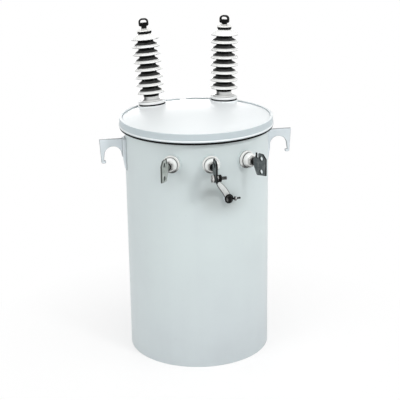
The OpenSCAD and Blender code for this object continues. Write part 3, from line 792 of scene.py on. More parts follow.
def plate(edge_line, holes, thickness, edge, steps=3, rim_mark=0.0):
    """A plate in x and y: rings of its edge line and its holes, inset along a quarter round of radius
    edge at both faces, with flat triangulated faces. One more ring lies flat just inside the round, so
    that the faces shade flat. The mark rises from the faces to the rim."""
    loops = [edge_line if signed_area(edge_line) > 0 else edge_line[::-1]]
    loops += [hole[::-1] if signed_area(hole) > 0 else hole for hole in holes]
    bend = np.linspace(0, np.pi / 2, steps + 1)
    inward = np.append(edge + FLAT_RING, edge * (1 - np.sin(bend)))
    height = np.append(thickness / 2, thickness / 2 - edge * (1 - np.cos(bend)))
    rise = rim_mark * np.append(0.0, np.sqrt(np.sin(bend)))
    insets, heights = np.concatenate([inward, inward[::-1]]), np.concatenate([height, -height[::-1]])
    worn = np.concatenate([rise, rise[::-1]])
    whole, first, last, faces = Surface([]), [], [], []
    for loop in loops:
        rings = np.stack([
            np.pad(inset(loop, d), ((0, 0), (0, 1)), constant_values=z) for d, z in zip(insets, heights)
        ])
        start, rows, cols = len(whole.points), *rings.shape[:2]
        whole = whole + Surface(rings, grid(rows, cols), mark=np.repeat(worn, cols))
        first.append(start + np.arange(cols))
        last.append(start + (rows - 1) * cols + np.arange(cols))
        faces.append([Vector((x, y, 0)) for x, y, _ in rings[0]])
    flat = np.array(tessellate_polygon(faces))
    caps = np.vstack([np.concatenate(first)[flat], np.concatenate(last)[flat[:, ::-1]]])
    return Surface(whole.points, whole.quads, np.vstack([whole.triangles, caps]), whole.mark)


print("a plate with a hole has", len(plate(circle(10.0), [circle(3.0)], 4.0, 0.5).points), "points")

# %% Roll the band
BAND_LIP = 12.0
LIP_H = 2.0
BAND_SPLIT = 14.0
BAND_STEPS = 288
ROLL_H = 4.0
ROLL_OUT = 2.6
LIP_LINE = 0.6
ROLL_LINE = 0.8
EAR_T = 6.0
band_side = band_r - ROLL_OUT
band_section = outline([
    [band_r - BAND_LIP, cover_rim, 0.8],
    [band_r - BAND_T, cover_rim, 1],
    [band_r - BAND_T, band_low + BAND_T, 1],
    [skirt_in, band_low + BAND_T, 0.8],
    [skirt_in, band_low, 0.8],
    [band_r, band_low, 2],
    [band_r, band_low + ROLL_H, 1.5],
    [band_side, band_low + ROLL_H + ROLL_OUT, 1],
    [band_side, band_low + ROLL_H + 2 * ROLL_OUT, 0],
    [band_side, band_high - LIP_H, 0],
    [band_side, band_high, 1.5],
    [band_r - BAND_LIP, band_high, 1.5],
])
# Painted light: the lip's top and the roll's top take the cover's lit tone; the roll's line is a painted
# highlight.
lip_painted_light = (band_section[:, 1] > band_high - LIP_LINE) * 1.0
roll_height = band_section[:, 1] - band_low - ROLL_H - ROLL_OUT / 4
roll_painted_highlight = (np.abs(roll_height) < ROLL_LINE * ROLL_OUT) * 1.0
half_gap = np.arcsin((BAND_SPLIT / 2 + EAR_T) / band_r)
turn = np.pi / 2 + np.linspace(half_gap, 2 * np.pi - half_gap, BAND_STEPS)
outward = np.stack([np.cos(turn), np.sin(turn), 0 * turn], axis=1)
upward = np.broadcast_to(UP, outward.shape)
band = carry(0 * outward, outward, upward, band_section, mark=np.maximum(lip_painted_light, roll_painted_highlight)).placed(*FRAME)
print("band of", len(band_section), "points carried over", BAND_STEPS, "steps")

# %% Weld on its ears
EAR_REACH = 30.0
EAR_H = 20.0
EAR_R = 6.0
EAR_EDGE = 1.0
BAND_BOLT_D = 10.0
BOLT_CLEAR = 0.2
ear_corners = oblong(-BAND_T, -EAR_H / 2, EAR_REACH, EAR_H / 2)
ear_hole = circle(BAND_BOLT_D / 2 + BOLT_CLEAR, (EAR_REACH / 2, 0))
ear = plate(rounded(ear_corners, [0, EAR_R, EAR_R, 0]), [ear_hole], EAR_T, EAR_EDGE)
ear_place = np.array([0, band_r, band_low + EAR_H / 2]) * MM
for way in (-1, 1):
    band = band + ear.moved(z=way * (BAND_SPLIT + EAR_T) / 2).placed(ear_place, REARWARDS, UP, SIDEWAYS)
make_piece("dressed_cover_band", band, band_paint, "cover_band")

# %% [markdown]
# ## The seal
#
# A black rubber seal sits on the tank's edge, and the band squeezes its lower part out as a round bead.
# The bead draws the dark line under the cover: black rubber put where that line is largely shade under
# the band. Its height and reach are read off the CAD seal, and a turned section with full round corners
# stands for it.

# %% Squeeze out the seal
SEAL_BULGE = 0.42
SEAL_IN = 0.2
SEAL_CLEAR = 0.1
seal_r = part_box("cover_seal")[1].x / MM
seal_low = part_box("cover_seal")[0].z / MM
bulge = SEAL_BULGE * (band_low - seal_low)
seal_high = band_low - SEAL_CLEAR
# The black bead stands in for the shade under the band.
seal = turned_ring(tank_r + SEAL_IN, seal_r, seal_low, seal_high, [0, bulge, bulge, 0], WALL_TURNS)
make_piece("dressed_seal", seal.placed(*FRAME), rubber, "cover_seal")

# %% [markdown]
# ## Nuts, washers and threads
#
# The small hardware is true to size, because it gives the eye its scale. A hexagon is a lathe whose
# radius depends on the angle, with a cone of 30 degrees taking off the corners. A thread is a tube
# whose radius rises and falls with height minus turn, which winds the ridge into a helix. The Screw
# modifier could wind it too, but would leave the ends open.

# %% Hexagons and washers as formulas
HEX_INNER = 0.96
HEX_SEAM = 0.22
HEX_RIM_MARK = 0.6


def hexagon(across, height, hole_r=0.0, turns=72, side_mark=1.0):
    """Hexagon prism: its radius is half the width across flats / cos(angle from the nearest flat), and
    its corners drop by tan 30 of what lies beyond the circle inside the flats. The mark is 1 along the
    edges, and its flats carry a mark of their own."""
    angle = np.arange(turns) * (2 * np.pi / turns)
    corner = across / 2 / np.cos((angle + np.pi / 6) % (np.pi / 3) - np.pi / 6)
    inner = np.full(turns, HEX_INNER * across / 2)
    drop = (corner - inner) * np.tan(np.pi / 6)
    hole, zero = np.full(turns, hole_r), np.zeros(turns)
    radius = np.stack([hole, inner, corner, corner, corner, corner, inner, hole])
    low = [zero, zero, drop, drop + HEX_SEAM * height]
    level = np.stack(low + [height - rise for rise in low[::-1]])
    points = np.stack([radius * np.cos(angle), radius * np.sin(angle), level], axis=-1)
    half = [0, HEX_RIM_MARK, 1, side_mark]
    mark = np.repeat(half + half[::-1], turns)
    return Surface(points, grid(len(level), turns, ring_rows=hole_r > 0), mark=mark)


def washer(outer_r, inner_r, height, edge=0.6):
    """A flat ring with rounded edges, turned about z and marked all over."""
    return turned_ring(inner_r, outer_r, 0, height, [0, edge, edge, 0], turns=48, steps=3, mark=1.0)


print("a nut has", len(hexagon(16, 7, 5).quads), "quads")

# %% Threads and shanks
THREAD_DEPTH = 0.6
THREAD_MARK = 0.7


def thread(diameter, length, pitch, turns=24, rows_per_turn=8):
    """A screw's end: radius = outside - depth * ridge, where the ridge is a triangle wave of height /
    pitch - turn. A cone of 45 degrees narrows both ends."""
    depth = THREAD_DEPTH * pitch
    level = np.linspace(0, length, int(length / pitch * rows_per_turn) + 1)[:, None]
    angle = np.arange(turns)[None] * (2 * np.pi / turns)
    ridge = np.abs(2 * ((level / pitch - angle / (2 * np.pi)) % 1) - 1)
    radius = diameter / 2 - depth * ridge
    radius = np.minimum(radius, diameter / 2 - depth + np.minimum(level, length - level))
    radius = np.vstack([np.zeros((1, turns)), radius, np.zeros((1, turns))])
    level = np.vstack([level[:1], level, level[-1:]])
    points = np.stack(np.broadcast_arrays(radius * np.cos(angle), radius * np.sin(angle), level), axis=-1)
    mark = THREAD_MARK + (1 - THREAD_MARK) * np.vstack([ridge[:1], ridge, ridge[-1:]])
    return Surface(points, grid(len(level), turns), mark=mark)


def shank(radius, length, edge=0.5, turns=32):
    """A plain round bar from z = 0, with a small chamfer at its end."""
    chamfer = [[radius, length - edge], [radius - edge, length]]
    return lathe(np.array([[0, 0], [radius, 0], *chamfer, [0, length]]), turns)


print("a thread of 15 mm has", len(thread(10, 15, 1.5).quads), "quads")

# %% Bolt the band's ears together
BAND_BOLT_HEAD = 16.0
BAND_BOLT_HEAD_T = 7.0
BAND_BOLT_CORE = 4.6
BAND_BOLT_PITCH = 1.5
grip = BAND_SPLIT + 2 * EAR_T
band_bolt = (
    hexagon(BAND_BOLT_HEAD, BAND_BOLT_HEAD_T).moved(z=-BAND_BOLT_HEAD_T)
    + shank(BAND_BOLT_D / 2, grip)
    + hexagon(BAND_BOLT_HEAD, BAND_BOLT_HEAD_T, BAND_BOLT_CORE).moved(z=grip)
    + thread(BAND_BOLT_D, BAND_BOLT_HEAD_T + BAND_BOLT_D / 2, BAND_BOLT_PITCH).moved(z=grip)
)
bolt_place = ear_place + np.array([-grip / 2, EAR_REACH / 2, 0]) * MM
band_bolt = band_bolt.placed(bolt_place, REARWARDS, UP, SIDEWAYS)
make_piece("dressed_band_bolt", band_bolt, bolt_steel, "band_bolt")

# %% [markdown]
# ## The tall bushings
#
# Each high-voltage bushing is a porcelain stem with eight sheds. A shed has a rounded rim, a sloping
# roof that meets the stem in a hollow curve, and an underside that rises to the stem so that water
# drips off the rim. The profile is listed by its corners, shed by shed, and turned. The mark is painted
# shade: it comes from each point's distance to the axis and its height above the shed's edge, and it
# darkens the undersides, the stem and the inner roofs, where shade falls, while the rims stay white.

# %% Draw the sheds
SHED_COUNT = 8
SHED_R = 50.0
SHED_PITCH = 27.2
SHED_RIM = 5.0
SHED_SLOPE = np.radians(30)
SHED_HOLLOW = 3.0
STEM_R = 27.5
FLANGE_T = 8.5
FOOT_R = 38.0
FOOT_T = 2.0
FOOT_H = 8.0
FIRST_SHED = 42.0
STEM_TOP_R = 22.0
STEM_TOP_RISE = 2.0
STEM_STEP = 2.0
foot_z = GASKET_T + FLANGE_T
shed_h = SHED_RIM + (SHED_R - STEM_R) * np.tan(SHED_SLOPE)
stem_top = FIRST_SHED + (SHED_COUNT - 1) * SHED_PITCH + shed_h + STEM_TOP_RISE


def stem_profile():
    """The stem from its foot on the flange to its flat top. A shed has four corners: the stem below it,
    the lower and the upper edge of its rim, and the stem above its roof."""
    rows = [
        [0, foot_z, 0],
        [FOOT_R, foot_z, 0.5],
        [FOOT_R, foot_z + FOOT_T, 1.2],
        [STEM_R, foot_z + FOOT_H, 5],
    ]
    for low in FIRST_SHED + SHED_PITCH * np.arange(SHED_COUNT):
        rows += [
            [STEM_R, low + SHED_HOLLOW, 4],
            [SHED_R, low, 2.3],
            [SHED_R, low + SHED_RIM, 2.3],
            [STEM_R, low + shed_h, 7],
        ]
    rows[-1][2] = 0
    return finer(outline(rows + [[STEM_TOP_R, stem_top, 1.5], [0, stem_top, 0]]), STEM_STEP)


stem_line = stem_profile()
print("stem of", SHED_COUNT, "sheds,", round(stem_top), "mm high,", len(stem_line), "points")

# %% Turn the stems and paint shade into their grooves
STEM_TURNS = 96
STEM_BAND = 1.5
GROOVE_OUT = 42.0
GROOVE_IN = 40.5
# Painted shade for the roofs, the undersides, the neck and its streak, and a painted highlight on the stem.
ROOF_SHADE = 0.62
RIM_SHADE_H = 1.7
NECK_LOW = 3.0
NECK_TOP = 10.5
NECK_SHADE = 0.18
JOINT_H = 1.0
JOINT_DIRT = 0.6
STREAK_AT = np.radians(207)
STREAK_WIDTH = 0.3
STREAK_SHADE = 0.4
HIGHLIGHT_AT = np.radians(298)
HIGHLIGHT_WIDTH = 0.35
HIGHLIGHT_SHARE = 0.36


def stem_painted_shade(profile):
    """The mark at each point, as painted shade: heavy on the stem and under the sheds, less on the inner
    roofs, none on the rims. A painted highlight lightens the stem on one side. On the bare neck the painted
    shade is light, with a dark top under the lowest shed, one painted dark streak down its left and a dark
    line where the foot stands."""
    r, z = profile[:, 0], profile[:, 1]
    rise = (z - FIRST_SHED) % SHED_PITCH
    under = rise < SHED_HOLLOW * (SHED_R - r) / (SHED_R - STEM_R) + RIM_SHADE_H
    roof = ROOF_SHADE * np.clip((GROOVE_OUT - r) / (GROOVE_OUT - GROOVE_IN), 0, 1)
    groove = np.where(under | (r < STEM_R + STEM_BAND), 1.0, roof)
    groove = np.where(z > stem_top - shed_h, 0.0, groove)
    neck = (z > foot_z + FOOT_H - NECK_LOW) & (z < FIRST_SHED)
    plain = np.where(neck, NECK_SHADE + (1 - NECK_SHADE) * (z > FIRST_SHED - NECK_TOP), 0.0)
    plain = np.where(z < foot_z + JOINT_H, JOINT_DIRT, plain)
    angle = np.arange(STEM_TURNS) * (2 * np.pi / STEM_TURNS)
    streak = STREAK_SHADE * np.exp(-(((angle - STREAK_AT) / STREAK_WIDTH) ** 2))
    bright_glaze = HIGHLIGHT_SHARE * np.exp(-(((angle - HIGHLIGHT_AT) / HIGHLIGHT_WIDTH) ** 2))
    low = plain[:, None] + neck[:, None] * streak
    high = groove[:, None] - (groove == 1)[:, None] * bright_glaze
    return np.clip(np.where((z < FIRST_SHED)[:, None], low, high), 0, 1)


stem = lathe(stem_line, STEM_TURNS, mark=stem_painted_shade(stem_line))
for side in SIDES:
    make_piece(f"{side}_tall_stem", along_bushing(stem, side), hv_porcelain, f"{side}_hv_porcelain")

# %% [markdown]
# ## Flanges and terminals of the tall bushings
#
# A painted ring clamps each bushing on its gasket. On top, a tinned cap keeps the rain out, and a nut
# holds the eye of the terminal: a flattened loop whose lower half is a block with a loose pad on it.
# The loop is one plate with a hole and generous edge rounds, which gives the soft look of a casting
# without subdividing a cage.

# %% Clamp rings, gaskets, caps and nuts
FLANGE_R = 48.5
GASKET_IN = 1.0
SHANK_R = 34.2
CAP_GASKET_T = 9.0
CAP_GASKET_R = 25.0
CAP_R = 27.0
CAP_EDGE = 3.0
CAP_H = 9.0
CAP_TOP = 0.6
CAP_TURNS = 72
NUT_ACROSS = 18.0
NUT_T = {"left": 8.0, "right": 4.0}
EYE_NECK_R = 5.5
RING_BULGE = 0.3
cap_z = stem_top + CAP_GASKET_T
nut_z = cap_z + CAP_H


def pressed_ring(inner_r, outer_r, low, high):
    """A rubber ring under load: its outer face bulges, so the corners are almost quarter circles."""
    bulge = RING_BULGE * (high - low)
    return turned_ring(inner_r, outer_r, low, high, [0, bulge, bulge, 0])


cap_profile = outline([
    [0, cap_z, 0],
    [CAP_R, cap_z, 0.8],
    [CAP_R, cap_z + CAP_EDGE, 1.2],
    [NUT_ACROSS * CAP_TOP, nut_z, 2],
    [0, nut_z, 0],
])
# Each row: the piece, its surface along the bushing, its finish and the end of its CAD node's name.
TALL_PIECES = (
    ("foot_gasket", pressed_ring(SHANK_R, FLANGE_R - GASKET_IN, 0, GASKET_T), rubber, "gasket"),
    ("cap_gasket", pressed_ring(STEM_TOP_R / 2, CAP_GASKET_R, stem_top, cap_z), rubber, "cap_gasket"),
    ("clamp_ring", turned_ring(SHANK_R, FLANGE_R, GASKET_T, foot_z, [0, 1.5, 4, 0]), ring_paint, "flange"),
    ("rain_cap", lathe(cap_profile, CAP_TURNS), cap_metal, "cap"),
)
for side in SIDES:
    for name, surface, finish, node in TALL_PIECES:
        make_piece(f"{side}_{name}", along_bushing(surface, side), finish, f"{side}_hv_{node}")
    nut = hexagon(NUT_ACROSS, NUT_T[side], EYE_NECK_R).moved(z=nut_z)
    make_piece(f"{side}_eye_nut", along_bushing(nut, side), terminal_metal, f"{side}_hv_nut")

# %% Cast the terminals' eyes
EYE_W = 34.0
EYE_H = 27.5
EYE_T = 14.0
EYE_BAR = 5.5
EYE_BLOCK = 7.0
EYE_BLOCK_R = 6.3
EYE_ROUND = 13.0
EYE_EDGE = 1.9
EYE_PITCH = 1.5
SLOT_R = 1.7
PAD_H = 5.5
PAD_R = 1.0
PAD_EDGE = 0.8
PAD_GAP = 0.25
EYE_TURN = {"left": np.radians(-15), "right": np.radians(-30)}


def eye_opening(low, high, gap, high_r):
    """The loop's opening between two heights, with a gap at its sides."""
    half = EYE_W / 2 - EYE_BAR - gap
    return rounded(oblong(-half, low, half, high), [SLOT_R, SLOT_R, high_r, high_r])


eye_corners = oblong(-EYE_W / 2, 0, EYE_W / 2, EYE_H)
eye_outline = rounded(eye_corners, [EYE_BLOCK_R, EYE_BLOCK_R, EYE_ROUND, EYE_ROUND], steps=12)
eye_hole = eye_opening(EYE_BLOCK, EYE_H - EYE_BAR, 0, EYE_ROUND - EYE_BAR)
eye_loop = plate(eye_outline, [eye_hole], EYE_T, EYE_EDGE, steps=5)
pad = plate(eye_opening(EYE_BLOCK, EYE_BLOCK + PAD_H, PAD_GAP, PAD_R), [], EYE_T, PAD_EDGE)
for side in SIDES:
    neck = thread(2 * EYE_NECK_R, NUT_T[side] + EYE_BLOCK / 2, EYE_PITCH).moved(z=nut_z)
    foot, axis = bushing_axis(side)
    across, behind = square_to(axis, (np.cos(EYE_TURN[side]), np.sin(EYE_TURN[side]), 0.0))
    eye_place = (foot + axis * (nut_z + NUT_T[side]) * MM, across, axis, -behind)
    eye = eye_loop.placed(*eye_place) + along_bushing(neck, side)
    make_piece(f"{side}_eye", eye, terminal_metal, f"{side}_hv_eyebolt")
    make_piece(f"{side}_eye_pad", pad.placed(*eye_place), terminal_metal, f"{side}_hv_pressure_pad")

# %% [markdown]
# ## The low-voltage bushings
#
# Three short porcelain bushings stand in a row on the front of the tank. Each has a flange, a narrow
# groove and a rounded body, then a bright nut, a black ring and the stud of its spade. They are turned
# like the tall ones, with z pointing straight out of the wall. The mark paints shade into the groove,
# and puts dirt with painted shade low on the flange and the body.

# %% Draw the short bushings
LV_GASKET_T = 2.0
LV_FLANGE_R = 30.0
LV_FLANGE_T = 8.0
LV_GROOVE_R = 22.0
LV_GROOVE_W = 3.0
LV_BODY_R = 24.0
LV_BODY_T = 12.0
LV_NOSE_R = 19.0
LV_NOSE_T = 4.0
LV_STEP = 1.5
lv_foot = LV_SEAT_H + LV_GASKET_T
lv_body = lv_foot + LV_FLANGE_T + LV_GROOVE_W
lv_nut = lv_body + LV_BODY_T + LV_NOSE_T
lv_profile = finer(outline([
    [0, lv_foot, 0],
    [LV_FLANGE_R, lv_foot, 1.5],
    [LV_FLANGE_R, lv_foot + LV_FLANGE_T, 3],
    [LV_GROOVE_R, lv_foot + LV_FLANGE_T, 1],
    [LV_GROOVE_R, lv_body, 1],
    [LV_BODY_R, lv_body, 1],
    [LV_BODY_R, lv_body + LV_BODY_T, 5],
    [LV_NOSE_R, lv_nut, 1.5],
    [0, lv_nut, 0],
]), LV_STEP)
print("short bushing reaches", lv_nut, "mm out of the wall,", len(lv_profile), "points")

# %% Turn the short bushings, with their nuts and rings
LV_TURNS = 80
LV_GROOVE_OUT = 3.0
LV_GROOVE_FADE = 2.0
LV_MARGIN = 1.0
LV_LOW_SHADE_AND_DIRT = 0.62
LV_LOW_FROM = 0.25
LV_LOW_FADE = 0.6
LV_NUT_ACROSS = 30.0
LV_NUT_T = 8.0
LV_NUT_CLEAR = 0.4
LV_STUD_R = 9.0
RING_R = 12.5
RING_T = 2.4
RING_SINK = 0.4
lv_spade = lv_nut + LV_NUT_T
lv_r, lv_z = lv_profile[:, :1], lv_profile[:, 1:]
lv_angle = np.arange(LV_TURNS) * (2 * np.pi / LV_TURNS)
# Painted shade in the groove, and dirt with painted shade low on the flange and the body.
lv_groove = np.clip((LV_GROOVE_R + LV_GROOVE_OUT - lv_r) / LV_GROOVE_FADE, 0, 1)
lv_groove = lv_groove * (lv_z < lv_body + LV_MARGIN)
lv_low = LV_LOW_SHADE_AND_DIRT * np.clip((-np.sin(lv_angle) - LV_LOW_FROM) / LV_LOW_FADE, 0, 1)
lv_low = lv_low * (lv_r > LV_NOSE_R + LV_MARGIN)
lv_nut_shape = hexagon(LV_NUT_ACROSS, LV_NUT_T, LV_STUD_R - LV_NUT_CLEAR, side_mark=0.0).moved(z=lv_nut)
lv_stem = lathe(lv_profile, LV_TURNS, mark=np.maximum(lv_groove, lv_low))
# Each row is like a tall bushing's. The stud's ring has no CAD node.
SHORT_PIECES = (
    ("short_stem", lv_stem, lv_porcelain, "porcelain"),
    ("stud_nut", lv_nut_shape, nut_metal, "nut"),
    ("stud_ring", pressed_ring(LV_STUD_R, RING_R, lv_spade - RING_SINK, lv_spade + RING_T), rubber, None),
)
for name in SHORT_BUSHINGS:
    for piece, surface, finish, node in SHORT_PIECES:
        stands_for = (f"{name}_lv_{node}",) if node else ()
        make_piece(f"{name}_{piece}", surface.placed(*wall_place(f"{name}_lv_gasket")), finish, *stands_for)

# %% [markdown]
# ## The spade terminals
#
# A spade is a flat forging on edge: a neck on the stud, a pad with two bolt holes, and a
# notch in its upper edge. Its outline is a table of corners, each with its own radius. It stands upright
# in the plane that holds the bushing's axis, so its x runs outwards and its y upwards. The mark
# blackens its rim, where the tinning has worn through.

# %% Draw the spade
SPADE_EDGE = 1.6
SPADE_NECK_H = 22.0
SPADE_NECK_LEN = 3.0
SPADE_FLARE = 16.0
SPADE_SHOULDER = 6.0
SPADE_PAD_W = 43.0
SPADE_PAD_H = 76.0
SPADE_DROP = 5.0
SPADE_CUT = 15.0
SPADE_FOOT = 5.0
SPADE_ROUND = 5.0
NOTCH_W = 8.0
NOTCH_H = 17.0
NOTCH_IN = 5.0
NOTCH_R = 2.0
pad_in = lv_spade + SPADE_NECK_LEN + SPADE_FLARE
pad_out = pad_in + SPADE_PAD_W


def spade_outline():
    """The outline from the neck, under the pad, round its cut corner and down into the notch."""
    top, low, neck = SPADE_PAD_H / 2 - SPADE_DROP, -SPADE_PAD_H / 2 - SPADE_DROP, SPADE_NECK_H / 2
    shoulder = pad_in - SPADE_SHOULDER
    notch = shoulder + NOTCH_IN
    return outline([
        [lv_spade, neck, 0],
        [lv_spade, -neck, 0],
        [lv_spade + SPADE_NECK_LEN, -neck, SPADE_EDGE],
        [pad_in, low, SPADE_ROUND],
        [pad_out, low + SPADE_FOOT, SPADE_ROUND / 2],
        [pad_out, top - SPADE_CUT, SPADE_ROUND / 2],
        [pad_out - SPADE_CUT, top, SPADE_ROUND / 2],
        [notch + NOTCH_W, top, NOTCH_R],
        [notch + NOTCH_W, top - NOTCH_H, NOTCH_R],
        [notch, top - NOTCH_H, NOTCH_R],
        [notch, top, NOTCH_R],
        [shoulder, top, NOTCH_R],
        [shoulder, 2 * neck, SPADE_ROUND / 2],
        [lv_spade + SPADE_NECK_LEN, neck, SPADE_ROUND / 2],
    ], steps=5)


print("spade outline of", len(spade_outline()), "points, out to", pad_out, "mm from the wall")

# %% Cut the spades
SPADE_T = 6.0
SPADE_HOLE_IN = 22.0
SPADE_HOLE_R = 7.15
SPADE_HOLE_POINTS = 32
SPADE_PITCH = 44.45
STUD_PITCH = 2.0
# The left spade takes the copy with painted reflected light, and the other two the copy with painted shade.
SPADE_FINISH = {"left": spade_painted_lit, "neutral": spade_painted_shaded, "right": spade_painted_shaded}
hole_out = pad_out - SPADE_HOLE_IN
spade_holes = [
    circle(SPADE_HOLE_R, (hole_out, way * SPADE_PITCH / 2 - SPADE_DROP), SPADE_HOLE_POINTS)
    for way in (-1, 1)
]
spade = plate(spade_outline(), spade_holes, SPADE_T, SPADE_EDGE, rim_mark=1.0)
stud = thread(2 * LV_STUD_R, LV_NUT_T + SPADE_NECK_LEN, STUD_PITCH).moved(z=lv_nut)
for name, metal in SPADE_FINISH.items():
    place, right, up, out = wall_place(f"{name}_lv_gasket")
    whole = spade.placed(place, out, up, -right) + stud.placed(place, right, up, out)
    make_piece(f"{name}_spade", whole, metal, f"{name}_lv_spade")

# %% [markdown]
# ## The neutral bolt and its strap
#
# The middle spade is tied to the tank: a bolt through its lower hole holds one end of a tinned strap,
# and a clamp on a boss of the tank holds the other. The strap leaves the spade down and back, turns
# over on the way and lands flat on the boss. Its middle line is one cubic curve with a straight tab at
# each end, and its face turns smoothly from one bolt's axis to the other's.

# %% Turn the neutral bolt
STRAP_T = 3.0
BOLT_D = 12.0
BOLT_ACROSS = 22.0
BOLT_HEAD_T = 9.0
BOLT_NUT_T = 10.0
BOLT_NUT_CLEAR = 0.5
BOLT_PITCH = 1.75
BOLT_TAIL = 20.0
WASHER_R = 13.0
WASHER_T = 2.5
neutral_place = wall_place("neutral_lv_gasket")[0]
neutral_hole = neutral_place + np.array([0, -hole_out, -SPADE_PITCH / 2 - SPADE_DROP]) * MM
bolt_left = SPADE_T / 2 + WASHER_T
bolt_right = SPADE_T / 2 + STRAP_T
neutral_bolt = (
    hexagon(BOLT_ACROSS, BOLT_HEAD_T, side_mark=0.0).moved(z=-bolt_left - BOLT_HEAD_T)
    + washer(WASHER_R, BOLT_D / 2, WASHER_T).moved(z=-bolt_left)
    + shank(BOLT_D / 2, bolt_left + bolt_right + WASHER_T).moved(z=-bolt_left)
    + washer(WASHER_R, BOLT_D / 2, WASHER_T).moved(z=bolt_right)
    + hexagon(BOLT_ACROSS, BOLT_NUT_T, BOLT_D / 2 - BOLT_NUT_CLEAR).moved(z=bolt_right + WASHER_T)
    + thread(BOLT_D, BOLT_NUT_T + BOLT_TAIL - WASHER_T, BOLT_PITCH).moved(z=bolt_right + WASHER_T)
)
neutral_bolt = neutral_bolt.placed(neutral_hole, REARWARDS, UP, SIDEWAYS)
make_piece("dressed_neutral_bolt", neutral_bolt, bolt_steel, "neutral_bolt")

# %% Bend the strap
GROUND_TURN = np.radians(13)
GROUND_DROP = 123.0
BOSS_H = 10.0
STRAP_W = 22.0
STRAP_EDGE = 1.0
STRAP_RIM = 3.0
STRAP_WORN = 1.1
STRAP_TAB = 14.0
STRAP_TILT = np.radians(45)
STRAP_LEAN = np.radians(25)
STRAP_PULL_TOP = 18.0
STRAP_PULL_LOW = 36.0
STRAP_STEPS = 60
ground_out = np.array([np.sin(GROUND_TURN), -np.cos(GROUND_TURN), 0.0])
ground_right = np.array([np.cos(GROUND_TURN), np.sin(GROUND_TURN), 0.0])
ground_height = neutral_place[2] / MM - GROUND_DROP


def strap_surface():
    """Rounded section carried along tab, cubic curve and tab; the face eases by t * t * (3 - 2 t). The
    mark is 1 along its two rims."""
    first_way = REARWARDS * np.sin(STRAP_TILT) - UP * np.cos(STRAP_TILT)
    last_way = ground_right * np.sin(STRAP_LEAN) - UP * np.cos(STRAP_LEAN)
    top = neutral_hole / MM + SIDEWAYS * (SPADE_T + STRAP_T) / 2
    low = ground_out * (tank_r + BOSS_H + STRAP_T / 2) + UP * ground_height
    start, end = top + first_way * STRAP_TAB, low - last_way * STRAP_TAB
    t = np.linspace(0, 1, STRAP_STEPS)[:, None]
    pull_a, pull_b = start + first_way * STRAP_PULL_TOP, end - last_way * STRAP_PULL_LOW
    curve = start * (1 - t) ** 3 + 3 * pull_a * t * (1 - t) ** 2 + 3 * pull_b * t**2 * (1 - t) + end * t**3
    path = np.vstack([top - first_way * STRAP_TAB, curve, low + last_way * STRAP_TAB])
    way = unit(np.gradient(curve, axis=0))
    way = np.vstack([first_way, first_way, way[1:-1], last_way, last_way])
    share = np.vstack([[0.0], t, [1.0]])
    ease = share**2 * (3 - 2 * share)
    look = SIDEWAYS * (1 - ease) + ground_out * ease
    face = unit(look - way * np.sum(look * way, axis=1, keepdims=True))
    w, h = STRAP_W / 2, STRAP_T / 2
    half = np.array([[STRAP_RIM - w, -h, 0], [w - STRAP_RIM, -h, 0], [w, -h, STRAP_EDGE], [w, h, STRAP_EDGE]])
    section = outline(np.vstack([half, half * [-1, -1, 1]]), steps=3)
    worn = np.where(np.abs(section[:, 0]) > w - STRAP_WORN, 1.0, 0.0)
    return carry(path, np.cross(way, face), face, section, mark=worn)


make_piece("dressed_strap", strap_surface().placed(*FRAME), strap_metal, "ground_strap")

# %% [markdown]
# ## The ground clamp
#
# The strap's lower end is held by a clamp: a disc on the boss, an upright sleeve with a bore, and a
# screw that enters the sleeve from the right. Each is a turned shape, and only the direction of its
# axis differs, so the same lathe makes them and `placed` turns them.

# %% Turn the clamp's disc and sleeve
CLAMP_R = 12.0
CLAMP_WASHER_R = 16.0
CLAMP_T = 12.0
DISC_T = 4.5
DISC_EDGE = 1.5
DISC_CLEAN = 0.2
DISC_TURNS = 48
SLEEVE_R = 6.0
SLEEVE_EDGE = 1.0
SLEEVE_SHORT = 1.0
SLEEVE_WORN = 1.5
SLEEVE_TURNS = 40
BORE_R = 3.0
clamp_low = BOSS_H + STRAP_T
disc_low = clamp_low + WASHER_T
sleeve_half = CLAMP_R - SLEEVE_SHORT
disc_profile = rounded(oblong(0, disc_low, CLAMP_R, disc_low + DISC_T), [0, 0, DISC_EDGE, 0])
disc_mark = np.clip(disc_profile[:, :1] / CLAMP_R - DISC_CLEAN, 0, 1)
disc = washer(CLAMP_WASHER_R, BOLT_D / 2, WASHER_T).moved(z=clamp_low)
disc = disc + lathe(disc_profile, DISC_TURNS, mark=disc_mark)
sleeve_profile = rounded(oblong(BORE_R, -sleeve_half, SLEEVE_R, sleeve_half), SLEEVE_EDGE, steps=4)
sleeve_mark = (np.abs(sleeve_profile[:, 1:]) > sleeve_half - SLEEVE_WORN) * 1.0
sleeve = lathe(sleeve_profile, SLEEVE_TURNS, ring=True, mark=sleeve_mark)
print("disc", 2 * CLAMP_R, "mm across, sleeve", 2 * sleeve_half, "mm long")

